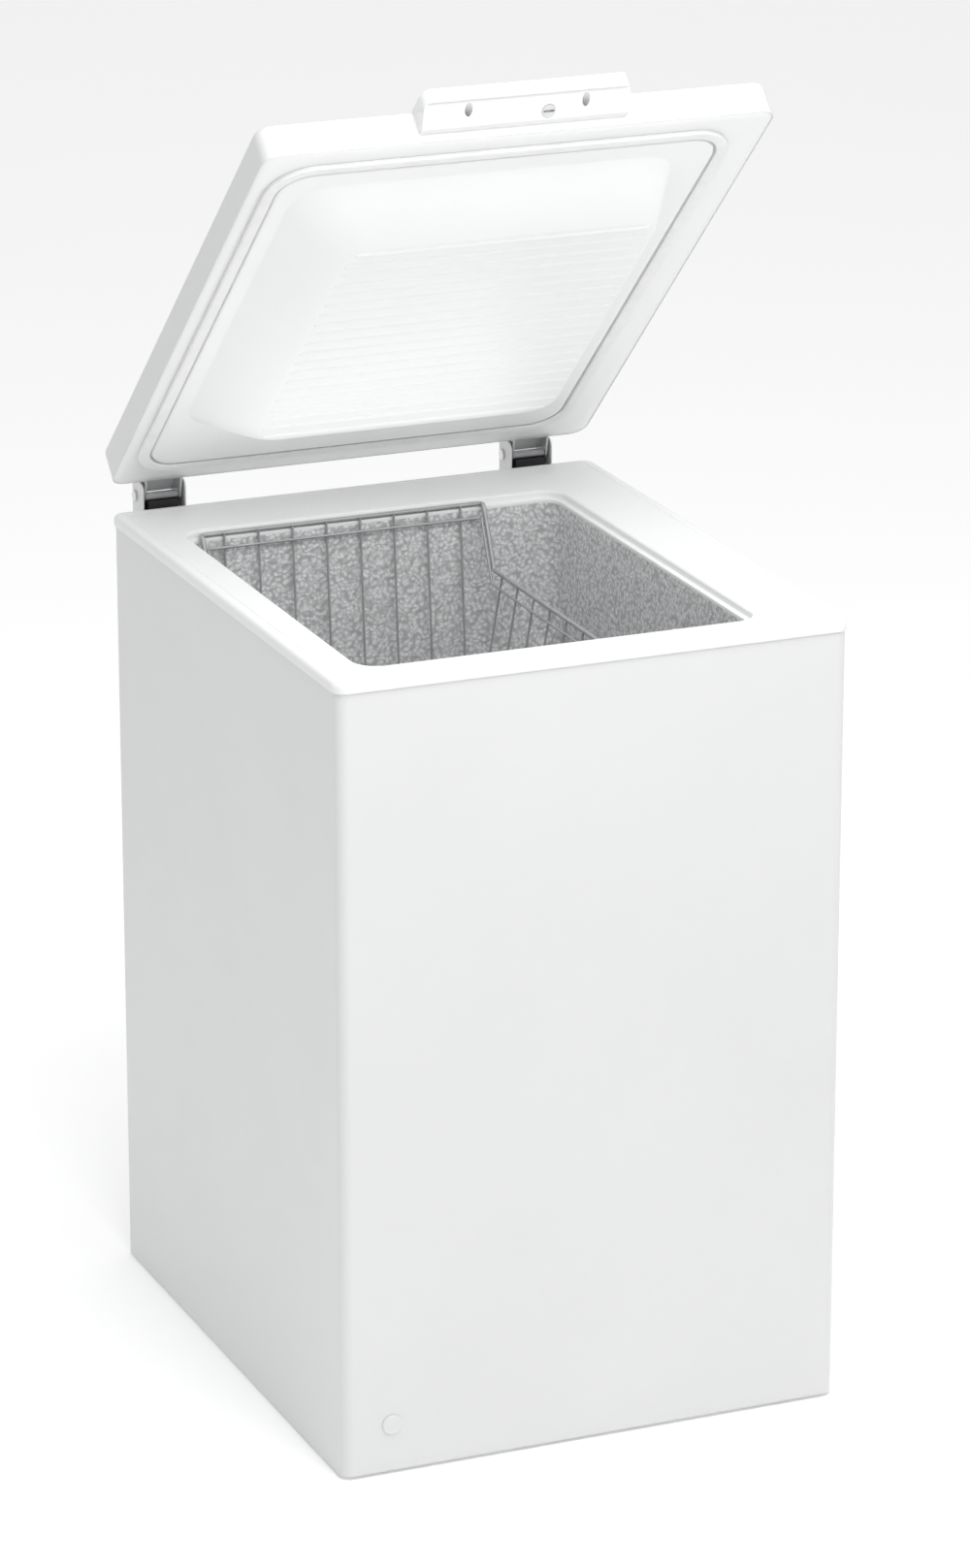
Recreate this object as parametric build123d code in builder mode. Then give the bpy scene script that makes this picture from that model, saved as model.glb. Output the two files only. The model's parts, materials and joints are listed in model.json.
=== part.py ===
from build123d import *
import os
from math import cos, sin, radians

# Small upright-footprint chest freezer, lid shown propped open on its counterbalanced hinges.
# Millimetres. +Z up, +Y towards the back, +X to the right as seen from the front.
# Origin: bottom centre of the box round the whole object.

os.makedirs("parts", exist_ok=True)

# ---- overall sizes -------------------------------------------------------------------
HEIGHT = 865.0            # floor to the top of the rim
WIDTH = 562.0             # steel cabinet, without the rim's overhang
DEPTH = 662.0
CABINET_R = 12.0          # vertical edges of the steel cabinet
FOOT_H = 4.0
SHEET = 0.8               # painted steel sheet
PAN_T = 1.2
RETURN_W = 20.0           # the wrapper's short returns onto the back
FOOT_R = 17.0
FOOT_CHAMFER = 1.0
FOOT_IN = 38.0            # foot's centre, in from the cabinet's sides and ends

# ---- rim (top frame) -----------------------------------------------------------------
RIM_OVERHANG = 2.0
RIM_H = 12.0
RIM_T = 3.0
RIM_EDGE_R = 4.5
RIM_UNDER_R = 1.2
RIM_CLEAR = 0.2
LAND_LEFT = 45.0          # flat width from the rim's outer edge to the opening
LAND_RIGHT = 83.0
LAND_FRONT = 43.0
LAND_REAR = 100.0
OPENING_R = 26.0
LEDGE_W = 6.0             # step that the basket hangs on
LEDGE_DROP = 8.0
RIM_WALL = 2.0

# ---- liner ---------------------------------------------------------------------------
LINER_T = 1.2
LINER_FLOOR = 80.0
HUMP_W = 184.0            # step over the compressor bay
HUMP_TOP = 290.0

# ---- compressor bay ------------------------------------------------------------------
BAY_W = 220.0
BAY_LEN = 350.0
BAY_H = 232.0
BULKHEAD_T = 1.2

# ---- hinges and lid ------------------------------------------------------------------
HINGE_IN = 64.0           # hinge's centre, in from the cabinet's sides
HINGE_PIN_BACK = 35.0     # pin behind the back panel
HINGE_PIN_UP = 6.0        # pin above the rim
HINGE_PIN_R = 4.0
PIN_CLEAR = 0.06
CHANNEL_W = 50.0
CHANNEL_T = 1.5
CHANNEL_DOWN = 118.0
CHANNEL_UP = 18.0
BOSS_R = 7.5
BOSS_GAP = 1.0
FLANGE_W = 14.0

LID_ANGLE = 43.5          # how far the lid stands open at rest
LID_SIDE_IN = 1.0         # lid's sides, in from the cabinet's
LID_T = 38.0
LID_FRONT_OVER = 7.0      # lid in front of the rim
LID_REAR_OVER = 2.0       # lid behind the rim
LID_R = 18.0
LID_EDGE_R = 7.0
LID_GAP = 6.0             # closed lid's lip above the rim

CHANNEL_D = HINGE_PIN_BACK + BOSS_R + BOSS_GAP + CHANNEL_T
CABINET_Y = -(CHANNEL_D - RIM_OVERHANG) / 2      # puts the whole depth centred on the origin

half_w = WIDTH / 2
front_y = CABINET_Y - DEPTH / 2
back_y = CABINET_Y + DEPTH / 2
rim_front = front_y - RIM_OVERHANG
rim_back = back_y + RIM_OVERHANG
rim_half = half_w + RIM_OVERHANG
rim_bottom = HEIGHT - RIM_H
land_under = HEIGHT - RIM_T
pan_top = FOOT_H + PAN_T

open_left = -rim_half + LAND_LEFT
open_right = rim_half - LAND_RIGHT
open_front = rim_front + LAND_FRONT
open_back = rim_back - LAND_REAR
in_left = open_left + LEDGE_W
in_right = open_right - LEDGE_W
in_front = open_front + LEDGE_W
in_back = open_back - LEDGE_W
liner_r = OPENING_R - LEDGE_W
hump_x = in_right - HUMP_W

bay_left = half_w - SHEET - BAY_W
bay_front = back_y - SHEET - BAY_LEN
bay_top = pan_top + BAY_H

hinge_x = half_w - HINGE_IN
pin_y = back_y + HINGE_PIN_BACK
pin_z = HEIGHT + HINGE_PIN_UP

# The lid is drawn shut, in planes that are turned about the hinge pin by LID_ANGLE.
lid_back_dir = Vector(0, cos(radians(LID_ANGLE)), -sin(radians(LID_ANGLE)))
lid_up_dir = Vector(0, sin(radians(LID_ANGLE)), cos(radians(LID_ANGLE)))
pin_point = Vector(0, pin_y, pin_z)
LID = Plane(origin=pin_point, x_dir=(1, 0, 0), z_dir=lid_up_dir)

lid_front = rim_front - LID_FRONT_OVER - pin_y
lid_back = rim_back + LID_REAR_OVER - pin_y
lid_half = half_w - LID_SIDE_IN
lid_bottom = HEIGHT + LID_GAP - pin_z


def lid_side(x):
    """Plane across the lid at x: its x runs back and its y runs up, as on a shut lid."""
    return Plane(origin=pin_point + Vector(x, 0, 0), x_dir=lid_back_dir, z_dir=(1, 0, 0))


def lid_face(y):
    """Plane facing forward at y on a shut lid: its x runs right and its y runs up."""
    return Plane(origin=pin_point + lid_back_dir * y, x_dir=(1, 0, 0), z_dir=-lid_back_dir)


def block(x, y, z, r=0.0, mode=Mode.ADD, base=Plane.XY):
    """Upright block between two x, two y and two z values, with rounded vertical edges."""
    with BuildSketch(base.offset(z[0])) as outline:
        with Locations(((x[0] + x[1]) / 2, (y[0] + y[1]) / 2)):
            if r > 0:
                RectangleRounded(x[1] - x[0], y[1] - y[0], r)
            else:
                Rectangle(x[1] - x[0], y[1] - y[0])
    extrude(outline.sketch, amount=z[1] - z[0], mode=mode)


def rod(start, end, r, mode=Mode.ADD):
    """Round bar between two points."""
    along = Vector(*end) - Vector(*start)
    with BuildSketch(Plane(origin=start, z_dir=along)) as section:
        Circle(r)
    extrude(section.sketch, amount=along.length, mode=mode)


def tube(points, bend, r):
    """Bent wire or pipe through the points, with one bend radius."""
    with BuildLine() as path:
        FilletPolyline(*points, radius=bend)
    with BuildSketch(Plane(origin=path.line @ 0, z_dir=path.line % 0)) as section:
        Circle(r)
    sweep(section.sketch, path=path.line)


def inset(span, amount):
    """The same span, drawn in at both ends."""
    return (span[0] + amount, span[1] - amount)


def finish(piece, name):
    piece.part.label = name
    export_step(piece.part, "parts/" + name + ".step")


# ======================================================================================
# Cabinet
# ======================================================================================

# ---- service opening in the right side ------------------------------------------------
SERVICE_W = 250.0
SERVICE_H = 178.0
SERVICE_LOW = 24.0
SERVICE_LAP = 8.0
SERVICE_PROUD = 1.6
service_y = (bay_front + back_y) / 2
service_z = (SERVICE_LOW, SERVICE_LOW + SERVICE_H)
service_span = (service_y - SERVICE_W / 2, service_y + SERVICE_W / 2)
window_y = (service_span[0] + SERVICE_LAP, service_span[1] - SERVICE_LAP)
window_z = (service_z[0] + SERVICE_LAP, service_z[1] - SERVICE_LAP)

# ---- mains cord inlet, low on the back ------------------------------------------------
GLAND_R = 9.0
GLAND_BORE_R = 3.6
GLAND_FLANGE = 4.0
GLAND_FLANGE_T = 3.0
GLAND_IN = 8.0
GLAND_OUT = 6.0
GLAND_Z = 40.0
gland_x = half_w - 60.0

# ---- drain at the lower left of the front ---------------------------------------------
DRAIN_X = 55.0            # in from the left side
DRAIN_Z = 56.0
DRAIN_R = 7.0             # bore of the drain pipe
DRAIN_WALL = 1.5
DRAIN_BEND = 14.0
DRAIN_STRAIGHT = 25.0     # level run behind the front
HOLE_IN = (38.0, 50.0)    # drain hole, from the liner's left and front walls
drain_x = -half_w + DRAIN_X
hole_x = in_left + HOLE_IN[0]
hole_y = in_front + HOLE_IN[1]

with BuildPart() as outer_wrapper:
    block((-half_w, half_w), (front_y, back_y), (FOOT_H, land_under), CABINET_R)
    block((-half_w + SHEET, half_w - SHEET), (front_y + SHEET, back_y - SHEET),
          (FOOT_H, land_under), CABINET_R - SHEET, Mode.SUBTRACT)
    # the back is closed by its own panel, between short returns
    block((-half_w + RETURN_W, half_w - RETURN_W), (back_y - SHEET, back_y),
          (FOOT_H, land_under), 0, Mode.SUBTRACT)
    block((half_w - SHEET, half_w), window_y, window_z, 0, Mode.SUBTRACT)
    rod((drain_x, front_y, DRAIN_Z), (drain_x, front_y + SHEET, DRAIN_Z),
        DRAIN_R + DRAIN_WALL + RIM_CLEAR, Mode.SUBTRACT)
finish(outer_wrapper, "outer_wrapper")

with BuildPart() as back_panel:
    block((-half_w + RETURN_W, half_w - RETURN_W), (back_y - SHEET, back_y), (FOOT_H, land_under))
    # inlet for the mains cord, at the foot of the compressor bay
    rod((gland_x, back_y - SHEET, GLAND_Z), (gland_x, back_y, GLAND_Z), GLAND_R, Mode.SUBTRACT)
finish(back_panel, "back_panel")

with BuildPart() as base_pan:
    block((-half_w + SHEET, half_w - SHEET), (front_y + SHEET, back_y - SHEET),
          (FOOT_H, pan_top), CABINET_R - SHEET)
finish(base_pan, "base_pan")

for side, foot_x in (("left", -half_w + FOOT_IN), ("right", half_w - FOOT_IN)):
    for end, foot_y in (("front", front_y + FOOT_IN), ("rear", back_y - FOOT_IN)):
        with BuildPart() as foot:
            with BuildSketch():
                with Locations((foot_x, foot_y)):
                    Circle(FOOT_R)
            extrude(amount=FOOT_H)
            chamfer(foot.faces().sort_by(Axis.Z)[0].edges(), FOOT_CHAMFER)
        finish(foot, "foot_" + end + "_" + side)

with BuildPart() as top_frame:
    block((-rim_half, rim_half), (rim_front, rim_back), (rim_bottom, HEIGHT),
          CABINET_R + RIM_OVERHANG)
    fillet(top_frame.faces().sort_by(Axis.Z)[-1].edges(), RIM_EDGE_R)
    fillet(top_frame.faces().sort_by(Axis.Z)[0].edges(), RIM_UNDER_R)
    # hollow underneath, between the outer skirt and the wall round the opening
    with BuildSketch(Plane.XY.offset(rim_bottom)):
        with Locations((0, CABINET_Y)):
            RectangleRounded(WIDTH + 2 * RIM_CLEAR, DEPTH + 2 * RIM_CLEAR, CABINET_R + RIM_CLEAR)
        with Locations(((open_left + open_right) / 2, (open_front + open_back) / 2)):
            RectangleRounded(open_right - open_left + 2 * RIM_WALL,
                             open_back - open_front + 2 * RIM_WALL,
                             OPENING_R + RIM_WALL, mode=Mode.SUBTRACT)
    extrude(amount=RIM_H - RIM_T, mode=Mode.SUBTRACT)
    block((open_left, open_right), (open_front, open_back), (HEIGHT - LEDGE_DROP, HEIGHT),
          OPENING_R, Mode.SUBTRACT)
    block((in_left, in_right), (in_front, in_back), (rim_bottom, HEIGHT), liner_r, Mode.SUBTRACT)
finish(top_frame, "top_frame")

with BuildPart() as inner_liner:
    block((in_left - LINER_T, in_right + LINER_T), (in_front - LINER_T, in_back + LINER_T),
          (HUMP_TOP - LINER_T, rim_bottom), liner_r + LINER_T)
    block((in_left - LINER_T, hump_x + LINER_T), (in_front - LINER_T, in_back + LINER_T),
          (LINER_FLOOR - LINER_T, HUMP_TOP + LINER_T), liner_r + LINER_T)
    block((in_left, in_right), (in_front, in_back), (HUMP_TOP, rim_bottom), liner_r, Mode.SUBTRACT)
    block((in_left, hump_x), (in_front, in_back), (LINER_FLOOR, HUMP_TOP), liner_r, Mode.SUBTRACT)
    rod((hole_x, hole_y, LINER_FLOOR - LINER_T), (hole_x, hole_y, LINER_FLOOR),
        DRAIN_R, Mode.SUBTRACT)
finish(inner_liner, "inner_liner")

# ---- drain ----------------------------------------------------------------------------
with BuildPart() as drain_pipe:
    with BuildLine() as drain_line:
        FilletPolyline((hole_x, hole_y, LINER_FLOOR - LINER_T), (hole_x, hole_y, DRAIN_Z),
                       (drain_x, front_y + DRAIN_STRAIGHT, DRAIN_Z), (drain_x, front_y, DRAIN_Z),
                       radius=DRAIN_BEND)
    with BuildSketch(Plane(origin=drain_line.line @ 0, z_dir=drain_line.line % 0)):
        Circle(DRAIN_R + DRAIN_WALL)
        Circle(DRAIN_R, mode=Mode.SUBTRACT)
    sweep()
finish(drain_pipe, "drain_pipe")

PLUG_HEAD_R = 13.0
PLUG_HEAD_T = 3.0
PLUG_HEAD_SOFT = 1.2
PLUG_REACH = 6.0
PLUG_CLEAR = 0.08
PLUG_GRIP_R = 3.5
PLUG_GRIP_H = 9.0
with BuildPart() as drain_plug:
    rod((hole_x, hole_y, LINER_FLOOR), (hole_x, hole_y, LINER_FLOOR + PLUG_HEAD_T), PLUG_HEAD_R)
    fillet(drain_plug.faces().sort_by(Axis.Z)[-1].edges(), PLUG_HEAD_SOFT)
    rod((hole_x, hole_y, LINER_FLOOR + PLUG_HEAD_T), (hole_x, hole_y, LINER_FLOOR + PLUG_GRIP_H),
        PLUG_GRIP_R)
    rod((hole_x, hole_y, LINER_FLOOR - PLUG_REACH), (hole_x, hole_y, LINER_FLOOR),
        DRAIN_R - PLUG_CLEAR)
finish(drain_plug, "drain_plug")

CAP_R = 11.0
CAP_T = 1.8
CAP_SOFT = 0.8
CAP_REACH = 9.0
with BuildPart() as drain_cap:
    rod((drain_x, front_y, DRAIN_Z), (drain_x, front_y - CAP_T, DRAIN_Z), CAP_R)
    fillet(drain_cap.faces().sort_by(Axis.Y)[0].edges(), CAP_SOFT)
    rod((drain_x, front_y, DRAIN_Z), (drain_x, front_y + CAP_REACH, DRAIN_Z), DRAIN_R - PLUG_CLEAR)
finish(drain_cap, "drain_cap")

# ---- refrigerant coils, foamed into the walls -------------------------------------------
COIL_R = 4.0
COIL_GAP = 0.3
COIL_BEND = 20.0
COIL_DOWN = 95.0          # top turn, below the rim
COIL_UP = 48.75           # end of the last turn, above the step
COIL_TURNS = 6
COIL_ENTRY = (70.0, 10.0) # first bend, across from the riser and above the top turn
RISER_IN = (60.0, 30.0)   # first riser, from the bay's left wall and behind the coil
TAIL_BACK = 20.0          # last riser, behind the coil
PIPE_DOWN = 14.0          # where the coils' pipes end, below the bay's roof
coil_top = HEIGHT - COIL_DOWN
coil_pitch = (coil_top - HUMP_TOP - COIL_UP) / (COIL_TURNS - 0.25)
coil_off = LINER_T + COIL_R + COIL_GAP
coil_left, coil_right = in_left - coil_off, in_right + coil_off
coil_front, coil_back = in_front - coil_off, in_back + coil_off
pipe_end = bay_top - PIPE_DOWN
riser = (bay_left + RISER_IN[0], coil_back + RISER_IN[1])
tail = (coil_right, coil_back + TAIL_BACK)

coil_points = [(riser[0], riser[1], pipe_end), (riser[0], riser[1], coil_top + COIL_ENTRY[1]),
               (riser[0] - COIL_ENTRY[0], coil_back, coil_top + COIL_ENTRY[1])]
coil_corners = [(coil_left, coil_back), (coil_left, coil_front), (coil_right, coil_front), tail]
for turn in range(COIL_TURNS):
    for quarter, corner in enumerate(coil_corners):
        # only the last turn runs on to the tail
        spot = corner if corner != tail or turn == COIL_TURNS - 1 else (coil_right, coil_back)
        coil_points.append((spot[0], spot[1], coil_top - coil_pitch * (turn + quarter / 4)))
coil_points.append((tail[0], tail[1], pipe_end))
with BuildPart() as evaporator_coil:
    tube(coil_points, COIL_BEND, COIL_R)
finish(evaporator_coil, "evaporator_coil")

COND_R = 2.5
COND_IN = 0.8             # between the condenser's pipe and the wrapper
COND_BEND = 22.0
COND_LOW = 300.0
COND_DOWN = 125.0         # top row, below the rim
COND_ROWS = 6
COND_BACK = 60.0
COND_RETURN = 25.0        # the return pipe, behind the first riser
cond_pitch = (HEIGHT - COND_DOWN - COND_LOW) / (COND_ROWS - 1)
cond_x = half_w - SHEET - COND_R - COND_IN
cond_front = front_y + SHEET + COND_R + COND_IN
cond_back = back_y - COND_BACK
cond_return = cond_back + COND_RETURN
cond_points = [(cond_x, cond_back, pipe_end)]
for row in range(COND_ROWS):
    z = COND_LOW + cond_pitch * row
    start, other = (1, -1) if row % 2 == 0 else (-1, 1)
    cond_points += [(start * cond_x, cond_back, z), (start * cond_x, cond_front, z),
                    (other * cond_x, cond_front, z)]
    cond_points += [(other * cond_x, cond_back, z)] if row < COND_ROWS - 1 else []
cond_points += [(cond_x, cond_return, COND_LOW + cond_pitch * (COND_ROWS - 1)),
                (cond_x, cond_return, pipe_end)]
with BuildPart() as condenser_coil:
    tube(cond_points, COND_BEND, COND_R)
finish(condenser_coil, "condenser_coil")

pipe_holes = ((riser[0], riser[1], COIL_R), (tail[0], tail[1], COIL_R),
              (cond_x, cond_back, COND_R), (cond_x, cond_return, COND_R))
with BuildPart() as bay_bulkhead:
    block((bay_left - BULKHEAD_T, half_w - SHEET), (bay_front - BULKHEAD_T, back_y - SHEET),
          (pan_top, bay_top + BULKHEAD_T))
    block((bay_left, half_w - SHEET), (bay_front, back_y - SHEET), (pan_top, bay_top),
          0, Mode.SUBTRACT)
    block((-half_w + SHEET, half_w - SHEET), (front_y + SHEET, back_y - SHEET),
          (pan_top, bay_top + BULKHEAD_T), CABINET_R - SHEET, Mode.INTERSECT)
    for x, y, r in pipe_holes:
        rod((x, y, bay_top), (x, y, bay_top + BULKHEAD_T), r + COIL_GAP, Mode.SUBTRACT)
finish(bay_bulkhead, "bay_bulkhead")

with BuildPart() as body_insulation:
    block((-half_w + SHEET, half_w - SHEET), (front_y + SHEET, back_y - SHEET),
          (pan_top, land_under), CABINET_R - SHEET)
    block((open_left - RIM_WALL, open_right + RIM_WALL), (open_front - RIM_WALL, open_back + RIM_WALL),
          (rim_bottom, land_under), OPENING_R + RIM_WALL, Mode.SUBTRACT)
    block((in_left - LINER_T, in_right + LINER_T), (in_front - LINER_T, in_back + LINER_T),
          (HUMP_TOP - LINER_T, rim_bottom), liner_r + LINER_T, Mode.SUBTRACT)
    block((in_left - LINER_T, hump_x + LINER_T), (in_front - LINER_T, in_back + LINER_T),
          (LINER_FLOOR - LINER_T, HUMP_TOP), liner_r + LINER_T, Mode.SUBTRACT)
    block((bay_left - BULKHEAD_T, half_w - SHEET), (bay_front - BULKHEAD_T, back_y - SHEET),
          (pan_top, bay_top + BULKHEAD_T), 0, Mode.SUBTRACT)
    with BuildSketch(Plane(origin=drain_line.line @ 0, z_dir=drain_line.line % 0)):
        Circle(DRAIN_R + DRAIN_WALL)
    sweep(path=drain_line.line, mode=Mode.SUBTRACT)
finish(body_insulation, "body_insulation")

# ---- compressor -------------------------------------------------------------------------
SHELL_W = 124.0
SHELL_L = 172.0
SHELL_H = 140.0
SHELL_R = 42.0
SHELL_WALL = 12.0         # steel shell and windings
SHELL_TOP_R = 34.0
SHELL_FOOT_R = 20.0
STACK_H = 40.0            # solid motor stack in the shell's foot
SEAM_OUT = 4.0
SEAM_Z = (62.0, 67.0)
COMP_BACK = 120.0         # compressor's centre, in front of the back
MOUNT_H = 14.0
PLATE_T = 3.0
PLATE_W, PLATE_L, PLATE_R = 134.0, 200.0, 14.0
SADDLE_W, SADDLE_L, SADDLE_H, SADDLE_R = 80.0, 120.0, 12.0, 10.0
SHELL_UP = 6.0            # shell above the plate's underside
BOLT_X, BOLT_Y = 55.0, 88.0
BOLT_R = 3.0
BOLT_CLEAR = 0.3
BOLT_UP = 8.0
NUT_R = 6.0
NUT_H = 5.0
GROMMET_R = 10.0
comp_x = (bay_left + half_w - SHEET) / 2
comp_y = back_y - COMP_BACK
plate_z = pan_top + MOUNT_H
shell_low = plate_z + SHELL_UP
shell_top = shell_low + SHELL_H
shell_x = (comp_x - SHELL_W / 2, comp_x + SHELL_W / 2)
shell_y = (comp_y - SHELL_L / 2, comp_y + SHELL_L / 2)
bolt_spots = [(comp_x + i * BOLT_X, comp_y + j * BOLT_Y) for i in (-1, 1) for j in (-1, 1)]

with BuildPart() as compressor:
    block(shell_x, shell_y, (shell_low, shell_top), SHELL_R)
    fillet(compressor.faces().sort_by(Axis.Z)[-1].edges(), SHELL_TOP_R)
    fillet(compressor.faces().sort_by(Axis.Z)[0].edges(), SHELL_FOOT_R)
    # rolled seam where the two halves of the shell are welded
    block(inset(shell_x, -SEAM_OUT), inset(shell_y, -SEAM_OUT),
          (plate_z + SEAM_Z[0], plate_z + SEAM_Z[1]), SHELL_R + SEAM_OUT)
    block((comp_x - PLATE_W / 2, comp_x + PLATE_W / 2), (comp_y - PLATE_L / 2, comp_y + PLATE_L / 2),
          (plate_z, plate_z + PLATE_T), PLATE_R)
    block((comp_x - SADDLE_W / 2, comp_x + SADDLE_W / 2),
          (comp_y - SADDLE_L / 2, comp_y + SADDLE_L / 2), (plate_z, plate_z + SADDLE_H), SADDLE_R)
    for x, y in bolt_spots:
        rod((x, y, plate_z), (x, y, plate_z + PLATE_T), BOLT_R + BOLT_CLEAR, Mode.SUBTRACT)
    # the shell is hollow above the motor's stack
    block(inset(shell_x, SHELL_WALL), inset(shell_y, SHELL_WALL),
          (shell_low + STACK_H, shell_top - 2 * SHELL_WALL), SHELL_R - SHELL_WALL, Mode.SUBTRACT)
finish(compressor, "compressor")

with BuildPart() as compressor_grommets:
    for x, y in bolt_spots:
        with BuildSketch(Plane.XY.offset(pan_top)):
            with Locations((x, y)):
                Circle(GROMMET_R)
                Circle(BOLT_R + BOLT_CLEAR, mode=Mode.SUBTRACT)
        extrude(amount=MOUNT_H)
finish(compressor_grommets, "compressor_grommets")

with BuildPart() as compressor_bolts:
    for x, y in bolt_spots:
        rod((x, y, pan_top), (x, y, plate_z + PLATE_T + BOLT_UP), BOLT_R)
        with BuildSketch(Plane.XY.offset(plate_z + PLATE_T)):
            with Locations((x, y)):
                RegularPolygon(NUT_R, 6)
        extrude(amount=NUT_H)
finish(compressor_bolts, "compressor_bolts")

RELAY_W = 42.0
RELAY_D = 30.0
RELAY_H = 48.0
RELAY_Z = 45.0
RELAY_SOFT = 4.0
relay_y = shell_y[0] - SEAM_OUT
with BuildPart() as relay_cover:
    block((comp_x - RELAY_W / 2, comp_x + RELAY_W / 2), (relay_y - RELAY_D, relay_y),
          (plate_z + RELAY_Z, plate_z + RELAY_Z + RELAY_H))
    fillet(relay_cover.faces().sort_by(Axis.Y)[0].edges(), RELAY_SOFT)
finish(relay_cover, "relay_cover")

PIPE_R = 2.4
PIPE_BEND = 8.0
DISCHARGE_OFF = (25.0, 20.0)      # outlets on the shell, from its centre
DISCHARGE_UP = 40.0
SUCTION_OFF = (-20.0, -20.0)
SUCTION_UP = 30.0
discharge = (comp_x + DISCHARGE_OFF[0], comp_y + DISCHARGE_OFF[1])
suction = (comp_x + SUCTION_OFF[0], comp_y + SUCTION_OFF[1])
with BuildPart() as discharge_pipe:
    tube([(discharge[0], discharge[1], shell_top), (discharge[0], discharge[1], shell_top + DISCHARGE_UP),
          (discharge[0], cond_back, shell_top + DISCHARGE_UP),
          (cond_x, cond_back, shell_top + DISCHARGE_UP), (cond_x, cond_back, pipe_end)],
         PIPE_BEND, PIPE_R)
finish(discharge_pipe, "discharge_pipe")

with BuildPart() as suction_pipe:
    tube([(suction[0], suction[1], shell_top), (suction[0], suction[1], shell_top + SUCTION_UP),
          (suction[0], riser[1], shell_top + SUCTION_UP), (riser[0], riser[1], shell_top + SUCTION_UP),
          (riser[0], riser[1], pipe_end)], PIPE_BEND + 1, COIL_R)
finish(suction_pipe, "suction_pipe")

DRIER_R = 9.0
DRIER_L = 80.0
DRIER_CLEAR = 3.0         # from the wrapper
DRIER_NECK = 10.0
DRIER_SOFT = 4.0
drier_x = half_w - SHEET - DRIER_R - DRIER_CLEAR
drier_top = pipe_end - 3 * DRIER_NECK
with BuildPart() as filter_drier:
    tube([(cond_x, cond_return, pipe_end), (cond_x, cond_return, pipe_end - DRIER_NECK),
          (drier_x, cond_return, pipe_end - 2 * DRIER_NECK), (drier_x, cond_return, drier_top)],
         DRIER_SOFT, COND_R)
    rod((drier_x, cond_return, drier_top - DRIER_L), (drier_x, cond_return, drier_top), DRIER_R)
    fillet(filter_drier.faces().filter_by(Axis.Z).sort_by(SortBy.AREA)[-2:].edges()
           .filter_by(GeomType.CIRCLE).group_by(SortBy.RADIUS)[-1], DRIER_SOFT)
finish(filter_drier, "filter_drier")

# ---- service grille and controls, low on the right side, over the compressor bay ----------
GRILLE_T = 1.6
GRILLE_R = 6.0
COLLAR_D = 10.0
COLLAR_T = 1.5
LOUVRES = 8
LOUVRE_W = 200.0
LOUVRE_H = 5.0
LOUVRE_PITCH = 11.0
LOUVRE_LOW = 24.0
BEZEL_W = 130.0
BEZEL_H = 44.0
BEZEL_D = 16.0
BEZEL_T = 2.0
BEZEL_IN = 33.0           # from the grille's front end
BEZEL_DOWN = 18.0         # from the grille's top
bezel_y = (service_span[0] + BEZEL_IN, service_span[0] + BEZEL_IN + BEZEL_W)
bezel_z = (service_z[1] - BEZEL_DOWN - BEZEL_H, service_z[1] - BEZEL_DOWN)
face_x = half_w + GRILLE_T
with BuildPart() as service_grille:
    block((half_w, face_x), service_span, service_z)
    fillet(service_grille.edges().filter_by(Axis.X), GRILLE_R)
    block((half_w - COLLAR_D, half_w), window_y, window_z)
    block((half_w - COLLAR_D, half_w), inset(window_y, COLLAR_T), inset(window_z, COLLAR_T),
          0, Mode.SUBTRACT)
    for n in range(LOUVRES):
        low = service_z[0] + LOUVRE_LOW + n * LOUVRE_PITCH
        block((half_w, face_x), (service_y - LOUVRE_W / 2, service_y + LOUVRE_W / 2),
              (low, low + LOUVRE_H), 0, Mode.SUBTRACT)
    block((half_w, face_x), bezel_y, bezel_z, 0, Mode.SUBTRACT)
finish(service_grille, "service_grille")

KNOB_R = 15.0
KNOB_H = 12.0
KNOB_GAP = 0.6
KNOB_IN = 32.0            # from the bezel's front end
POINTER_W = 1.6
POINTER_D = 1.2
POINTER_SPAN = (2.0, 12.0)
SHAFT_R = 3.0
SHAFT_L = 14.0
SHAFT_CLEAR = 0.06
LAMP_R = 3.5
LAMP_IN = 6.0
LAMP_OUT = 2.5
EDGE_SOFT = 1.5
THERMOSTAT = (30.0, 38.0, 32.0)
THERMOSTAT_SOFT = 3.0
well_x = face_x - BEZEL_D + BEZEL_T
back_x = well_x - BEZEL_T
knob_y = bezel_y[0] + KNOB_IN
knob_z = (bezel_z[0] + bezel_z[1]) / 2
knob_x = (well_x + KNOB_GAP, well_x + KNOB_GAP + KNOB_H)
lamp_spots = {"power_lamp": bezel_y[0] + 78, "alarm_lamp": bezel_y[0] + 102}
with BuildPart() as control_bezel:
    block((back_x, face_x), bezel_y, bezel_z)
    block((well_x, face_x), inset(bezel_y, BEZEL_T), inset(bezel_z, BEZEL_T), 0, Mode.SUBTRACT)
    rod((back_x, knob_y, knob_z), (well_x, knob_y, knob_z), SHAFT_R + 0.5, Mode.SUBTRACT)
    for y in lamp_spots.values():
        rod((back_x, y, knob_z), (well_x, y, knob_z), LAMP_R, Mode.SUBTRACT)
finish(control_bezel, "control_bezel")

with BuildPart() as thermostat:
    block((back_x - THERMOSTAT[0], back_x), (knob_y - THERMOSTAT[1] / 2, knob_y + THERMOSTAT[1] / 2),
          (knob_z - THERMOSTAT[2] / 2, knob_z + THERMOSTAT[2] / 2))
    fillet(thermostat.edges().filter_by(Axis.X), THERMOSTAT_SOFT)
    rod((back_x - SHAFT_L - 1, knob_y, knob_z), (back_x, knob_y, knob_z),
        SHAFT_R + SHAFT_CLEAR, Mode.SUBTRACT)
finish(thermostat, "thermostat")

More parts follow.
